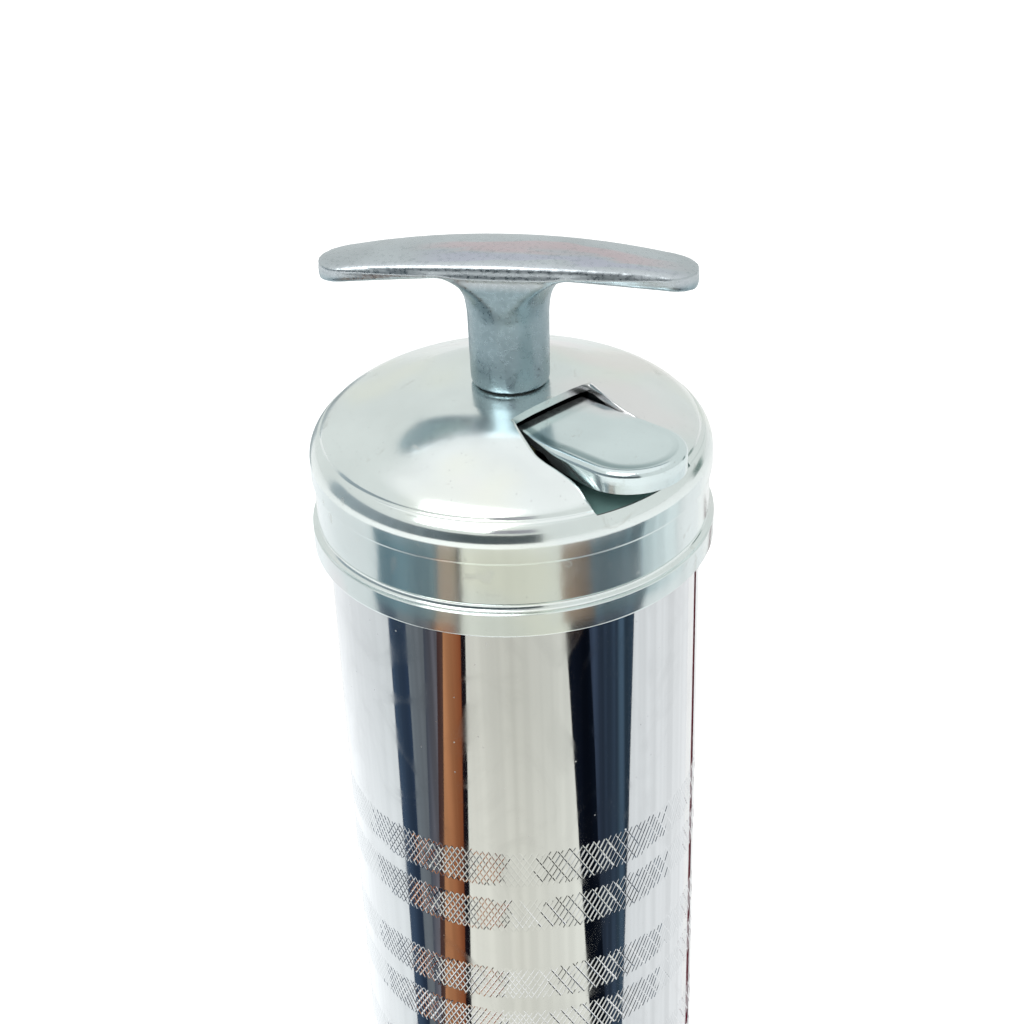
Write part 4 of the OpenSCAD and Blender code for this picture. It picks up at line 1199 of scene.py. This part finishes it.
class GREASE_OT_inlet(bpy.types.Operator):
    """Brass air inlet"""

    bl_idname = "grease_gun.inlet"
    bl_label = "Air inlet"

    def execute(self, context):
        obj = copy_node("turned_inlet", "air_inlet")
        smooth_shade(obj, 30)
        settle(obj, FINISHES["brass"], "gun", "brass", "air_inlet")
        obj.visible_glossy = False
        return {"FINISHED"}


# Springs: joint, travel in millimetres, direction, and whether the high end stays
SPRINGS = {
    "follower_spring": ("follower_slide", 155.0, (0, 0, 1), True),
    "latch_spring": ("latch_press", 0.5, (0, 0, 1), False),
    "return_spring": ("pump_stroke", 26.0, (1, 0, 0), True),
    "valve_spring": ("valve_push", 3.2, (-0.990268, 0, -0.139173), True),
    "check_spring": ("check_lift", 2.0, (1, 0, 0), True),
}


class GREASE_OT_springs(bpy.types.Operator):
    """Coil springs, copied from the imported model with their finish"""

    bl_idname = "grease_gun.springs"
    bl_label = "Springs"

    def execute(self, context):
        for node, (joint, travel, axis, far_end) in SPRINGS.items():
            obj = copy_node("coiled_" + node, node)
            smooth_shade(obj, 50)
            settle(obj, FINISHES["spring_steel"], "gun", "spring_steel", node)
            axis = Vector(axis)
            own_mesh(obj)
        return {"FINISHED"}


class GREASE_OT_nodes(bpy.types.Operator):
    """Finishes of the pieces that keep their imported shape"""

    bl_idname = "grease_gun.nodes"
    bl_label = "Other pieces"

    def execute(self, context):
        for part in frame["record"]["subparts"]:
            obj = frame["nodes"][part["node"]]
            for place in obj.material_slots:
                place.link = "OBJECT"
                place.material = FINISHES[part["material_slot"]]
        return {"FINISHED"}


# Studio


class Card:
    """Curved card that only reflections show: azimuths of its edges, low and high, and colours."""

    radius = 150 * MM
    low = 0.0
    high = 212 * MM
    slant = 260 * MM
    foot_gain = 0.0
    foot_full = 110 * MM
    foot_end = 165 * MM

    def __init__(self, name, left, right, start, end, streak=0.0, **places):
        self.name = name
        self.left = left
        self.right = right
        self.start = start
        self.end = end
        self.streak = streak
        for key, value in places.items():
            setattr(self, key, value)

    def material(self):
        """Glow that goes from the first colour to the last across the card, with upright streaks."""
        material = bpy.data.materials.new(self.name)
        material.use_nodes = True
        g = Graph(material.node_tree)
        across = g.add("Attribute", attribute_name="across")["Fac"]
        tone = g.add("Mix", {"Factor": across, "A": self.start, "B": self.end}, data_type="RGBA")["Result"]
        place = g.add("TexCoord")["Object"]
        stretch = g.add("Mapping", {"Scale": (1, 1, 0.03), "Vector": place})["Vector"]
        noise = g.add("TexNoise", {"Scale": 80, "Detail": 1, "Vector": stretch})["Fac"]
        limits = {"From Min": 0.35, "From Max": 0.65, "To Min": 1 - self.streak, "To Max": 1 + self.streak}
        dim = g.add("MapRange", {"Value": noise, **limits})["Result"]
        level = g.add("SeparateXYZ", {0: place})["Z"]
        limits = {"From Min": self.foot_full, "From Max": self.foot_end, "To Min": 1 + self.foot_gain}
        gain = g.add("MapRange", {"Value": level, **limits})["Result"]
        strength = g.add("Math", {0: dim, 1: gain}, operation="MULTIPLY")[0]
        glow = g.add("Emission", {"Color": tone, "Strength": strength})[0]
        g.add("OutputMaterial", {"Surface": glow})
        return material

    def stand(self):
        """Puts the card on the stage."""
        columns = 24
        verts = []
        share = []
        for k in range(columns + 1):
            for z in (self.low, self.high):
                left, right = (a + (b - a) * z / self.slant for a, b in (self.left, self.right))
                a = math.radians(left + (right - left) * k / columns)
                verts.append((self.radius * math.sin(a), -self.radius * math.cos(a), z))
                share.append(k / columns)
        faces = [(2 * k, 2 * k + 2, 2 * k + 3, 2 * k + 1) for k in range(columns)]
        obj = link_mesh(self.name, verts, faces)
        obj.data.attributes.new("across", "FLOAT", "POINT").data.foreach_set("value", share)
        obj.data.materials.append(self.material())
        obj.visible_camera = False
        obj.visible_diffuse = False
        obj.visible_shadow = False
        obj.visible_transmission = False
        obj.visible_volume_scatter = False


# Things round the gun that its chrome mirrors, from left to right
UPPER = {"radius": 148 * MM, "low": 187 * MM}
LOWER = {"radius": 152 * MM, "high": 190 * MM}
BAND = {"radius": 500 * MM, "low": 186 * MM, "high": 455 * MM}
LENS = {"radius": 450 * MM, "low": 490 * MM, "high": 620 * MM}
BACK = {"radius": 500 * MM, "low": 40 * MM, "high": 250 * MM}
SIDE = {"radius": 500 * MM, "low": 190 * MM, "high": 310 * MM}
CARDS = [
    Card("card_left", (-150, -150), (-82, -78), (1.0, 1.03, 1.05), (0.70, 0.74, 0.75), 0.03, foot_gain=0.2),
    Card("card_navy", (-82, -78), (-72, -64), (0.045, 0.072, 0.115), (0.022, 0.038, 0.070), 0.25),
    Card("card_grey", (-72, -64), (-70, -48), (0.150, 0.175, 0.195), (0.120, 0.135, 0.150), 0.20),
    Card("card_slate", (-70, -48), (-68, -37), (0.055, 0.065, 0.085), (0.150, 0.145, 0.165), 0.30),
    Card("card_umber", (-68, -37), (-65, -33), (0.060, 0.030, 0.028), (0.090, 0.050, 0.040), 0.15),
    Card("card_brown", (-65, -33), (-48.5, -25), (0.52, 0.245, 0.115), (0.25, 0.072, 0.028), 0.14),
    Card("card_line", (-48.5, -25), (-44, -23), (0.012, 0.008, 0.010), (0.006, 0.006, 0.010)),
    Card("card_pale", (-44, -23), (-4, -4), (0.73, 0.73, 0.655), (0.64, 0.64, 0.57), 0.05, foot_gain=0.2),
    Card("card_cream", (-4, -4), (43, 19.5), (0.64, 0.64, 0.57), (0.72, 0.73, 0.665), 0.05, foot_gain=0.2),
    Card("card_black", (43, 19.5), (52, 35), (0.004, 0.006, 0.012), (0.003, 0.005, 0.010), 0.3),
    Card("card_blue", (52, 35), (54.5, 60), (0.032, 0.046, 0.075), (0.050, 0.080, 0.125), 0.45),
    Card("card_steel", (54.5, 60), (55.6, 76), (0.060, 0.100, 0.145), (0.032, 0.055, 0.085), 0.45),
    Card("card_right", (55.6, 76), (126, 126), (0.78, 0.81, 0.82), (0.86, 0.88, 0.89), 0.06, foot_gain=0.04),
    Card("upper_left", (-82, -78), (-65, -33), (0.072, 0.15, 0.19), (0.105, 0.18, 0.21), 0.3, **UPPER),
    Card("upper_brown", (-65, -33), (-48.5, -25), (0.42, 0.34, 0.27), (0.30, 0.25, 0.19), 0.2, **UPPER),
    Card("upper_patch", (23, 23), (40, 40), (0.26, 0.17, 0.105), (0.15, 0.09, 0.055), 0.2, **UPPER),
    Card("upper_teal", (52, 35), (55.6, 76), (0.045, 0.092, 0.12), (0.10, 0.165, 0.20), 0.4, **UPPER),
    Card("upper_right", (55.6, 76), (100, 100), (0.44, 0.54, 0.57), (0.70, 0.76, 0.77), 0.2, **UPPER),
    Card("card_behind", (170, 170), (200, 200), (0.05, 0.06, 0.08), (0.20, 0.21, 0.23), 0.4),
    Card("card_wine", (136, 139), (146, 142), (0.16, 0.02, 0.035), (0.05, 0.02, 0.03), 0.2, **LOWER),
    Card("back_left", (194, 194), (214, 214), (0.36, 0.41, 0.43), (0.46, 0.51, 0.53), 0.3, **BACK),
    Card("side_right", (111, 111), (123, 123), (0.10, 0.17, 0.15), (0.16, 0.24, 0.22), 0.5, **SIDE),
    Card("band_left", (-112, -112), (-24, -24), (0.36, 0.43, 0.47), (0.035, 0.055, 0.070), 0.2, **BAND),
    Card("band_front", (-25, -25), (14, 14), (0.030, 0.050, 0.060), (0.045, 0.060, 0.070), 0.1, **BAND),
    Card("lens", (-14, -14), (12, 12), (0.24, 0.24, 0.30), (0.26, 0.25, 0.30), 0.1, **LENS),
]


def floor_material(base):
    """Pale floor that is white to the camera and to reflections, and still takes a shadow."""
    material = bpy.data.materials.new("studio_floor")
    material.use_nodes = True
    g = Graph(material.node_tree)
    path = g.add("LightPath")
    total = None
    for kind, level in (("Is Camera Ray", 0.5), ("Is Transmission Ray", 0.5), ("Is Glossy Ray", 0.12)):
        part = g.add("Math", {0: path[kind], 1: level}, operation="MULTIPLY")[0]
        total = g.add("Math", {0: total, 1: part}, operation="MAXIMUM")[0] if total else part
    glow = g.add("Emission", {"Strength": total})[0]
    matt = g.add("BsdfDiffuse", {"Color": base})[0]
    both = g.add("AddShader", {0: matt, 1: glow})[0]
    g.add("OutputMaterial", {"Surface": both})
    return material


def light_room(wall, ceiling):
    """World that is pale round the horizon and white overhead, and plain white to the camera."""
    world = bpy.data.worlds.new("studio")
    bpy.context.scene.world = world
    world.use_nodes = True
    g = Graph(world.node_tree)
    height = g.add("SeparateXYZ", {0: g.add("TexCoord")["Generated"]})["Z"]
    limits = {"From Min": 0.70, "From Max": 0.86}
    ramp = g.add("MapRange", {"Value": height, **limits}, interpolation_type="SMOOTHSTEP")["Result"]
    tone = g.add("Mix", {"Factor": ramp, "A": wall, "B": ceiling}, data_type="RGBA")["Result"]
    room = g.add("Background", {"Color": tone})[0]
    white = g.add("Background", {"Color": (1, 1, 1)})[0]
    seen = g.add("LightPath")["Is Camera Ray"]
    pick = g.add("MixShader", {0: seen, 1: room, 2: white})[0]
    g.add("OutputWorld", {"Surface": pick})


# Camera: place, pitch down, yaw, roll and focal length for a frame of 1024 by 1024
CAMERA_PLACE = (0.0, -0.24945, 0.41918)
CAMERA_PITCH = 0.5396
CAMERA_YAW = -0.0009
CAMERA_ROLL = -0.0374
CAMERA_LENS = 1929.4 / 1024 * 36


def aim_camera():
    """Camera at the photograph's viewing angle."""
    ahead = Vector((
        math.sin(CAMERA_YAW) * math.cos(CAMERA_PITCH),
        math.cos(CAMERA_YAW) * math.cos(CAMERA_PITCH),
        -math.sin(CAMERA_PITCH),
    ))
    right = Vector((math.cos(CAMERA_YAW), -math.sin(CAMERA_YAW), 0))
    up = right.cross(ahead)
    c = math.cos(CAMERA_ROLL)
    s = math.sin(CAMERA_ROLL)
    side = c * right + s * up
    top = -s * right + c * up
    turn = Matrix((side, top, -ahead)).transposed()
    data = bpy.data.cameras.new("camera")
    data.lens = CAMERA_LENS
    data.sensor_width = 36
    data.sensor_fit = "HORIZONTAL"
    data.clip_start = 0.01
    camera = bpy.data.objects.new("camera", data)
    camera.matrix_world = Matrix.Translation(CAMERA_PLACE) @ turn.to_4x4()
    bpy.context.scene.collection.objects.link(camera)
    bpy.context.scene.camera = camera


def soft_lamp(name, place, target, size, energy):
    """Square soft lamp that points at a target."""
    data = bpy.data.lights.new(name, "AREA")
    data.size = size
    data.energy = energy
    lamp = bpy.data.objects.new(name, data)
    aim = Vector(target) - Vector(place)
    lamp.matrix_world = Matrix.Translation(place) @ aim.to_track_quat("-Z", "Y").to_matrix().to_4x4()
    bpy.context.scene.collection.objects.link(lamp)


class GREASE_OT_stage(bpy.types.Operator):
    """Camera, lamps, room, floor and the cards that the chrome mirrors"""

    bl_idname = "grease_gun.stage"
    bl_label = "Studio"

    def execute(self, context):
        looks = context.scene.grease_gun.studio
        context.scene.view_settings.view_transform = "Standard"
        aim_camera()
        light_room(looks.wall, looks.ceiling)
        soft_lamp("key_lamp", (-0.5, -0.7, 1.3), (0, 0, 0.2), 0.9, 7.0)
        half = 4.0
        corners = [(-half, -half, 0), (half, -half, 0), (half, half, 0), (-half, half, 0)]
        floor = link_mesh("floor", corners, [(0, 1, 2, 3)])
        floor.data.materials.append(floor_material(looks.floor))
        for card in CARDS:
            card.stand()
        return {"FINISHED"}


class GREASE_PT_panel(bpy.types.Panel):
    """Lists the pieces of the gun and their values"""

    bl_idname = "GREASE_PT_panel"
    bl_label = "Grease gun"
    bl_space_type = "VIEW_3D"
    bl_region_type = "UI"
    bl_category = "Grease gun"

    def draw(self, context):
        looks = context.scene.grease_gun
        for operator in OPERATORS:
            self.layout.operator(operator.bl_idname)
        for group in (looks.barrel, looks.cap, looks.handle, looks.head, looks.studio):
            box = self.layout.box()
            for key in group.bl_rna.properties.keys():
                if key not in ("rna_type", "name"):
                    box.prop(group, key)


GROUPS = (BarrelLooks, CapLooks, HandleLooks, HeadLooks, StudioLooks, GunLooks)
OPERATORS = (
    GREASE_OT_stage, GREASE_OT_nodes, GREASE_OT_barrel, GREASE_OT_cap, GREASE_OT_latch,
    GREASE_OT_handle, GREASE_OT_head, GREASE_OT_trigger, GREASE_OT_inlet, GREASE_OT_springs,
)


def register():
    for kind in GROUPS + OPERATORS + (GREASE_PT_panel,):
        bpy.utils.register_class(kind)
    bpy.types.Scene.grease_gun = PointerProperty(type=GunLooks)


def unregister():
    del bpy.types.Scene.grease_gun
    for kind in reversed(GROUPS + OPERATORS + (GREASE_PT_panel,)):
        bpy.utils.unregister_class(kind)


def main():
    register()
    make_finishes(bpy.context.scene.grease_gun)
    bpy.ops.grease_gun.stage()
    bpy.ops.grease_gun.nodes()
    bpy.ops.grease_gun.barrel()
    bpy.ops.grease_gun.cap()
    bpy.ops.grease_gun.latch()
    bpy.ops.grease_gun.handle()
    bpy.ops.grease_gun.head()
    bpy.ops.grease_gun.trigger()
    bpy.ops.grease_gun.inlet()
    bpy.ops.grease_gun.springs()


if __name__ == "__main__":
    main()
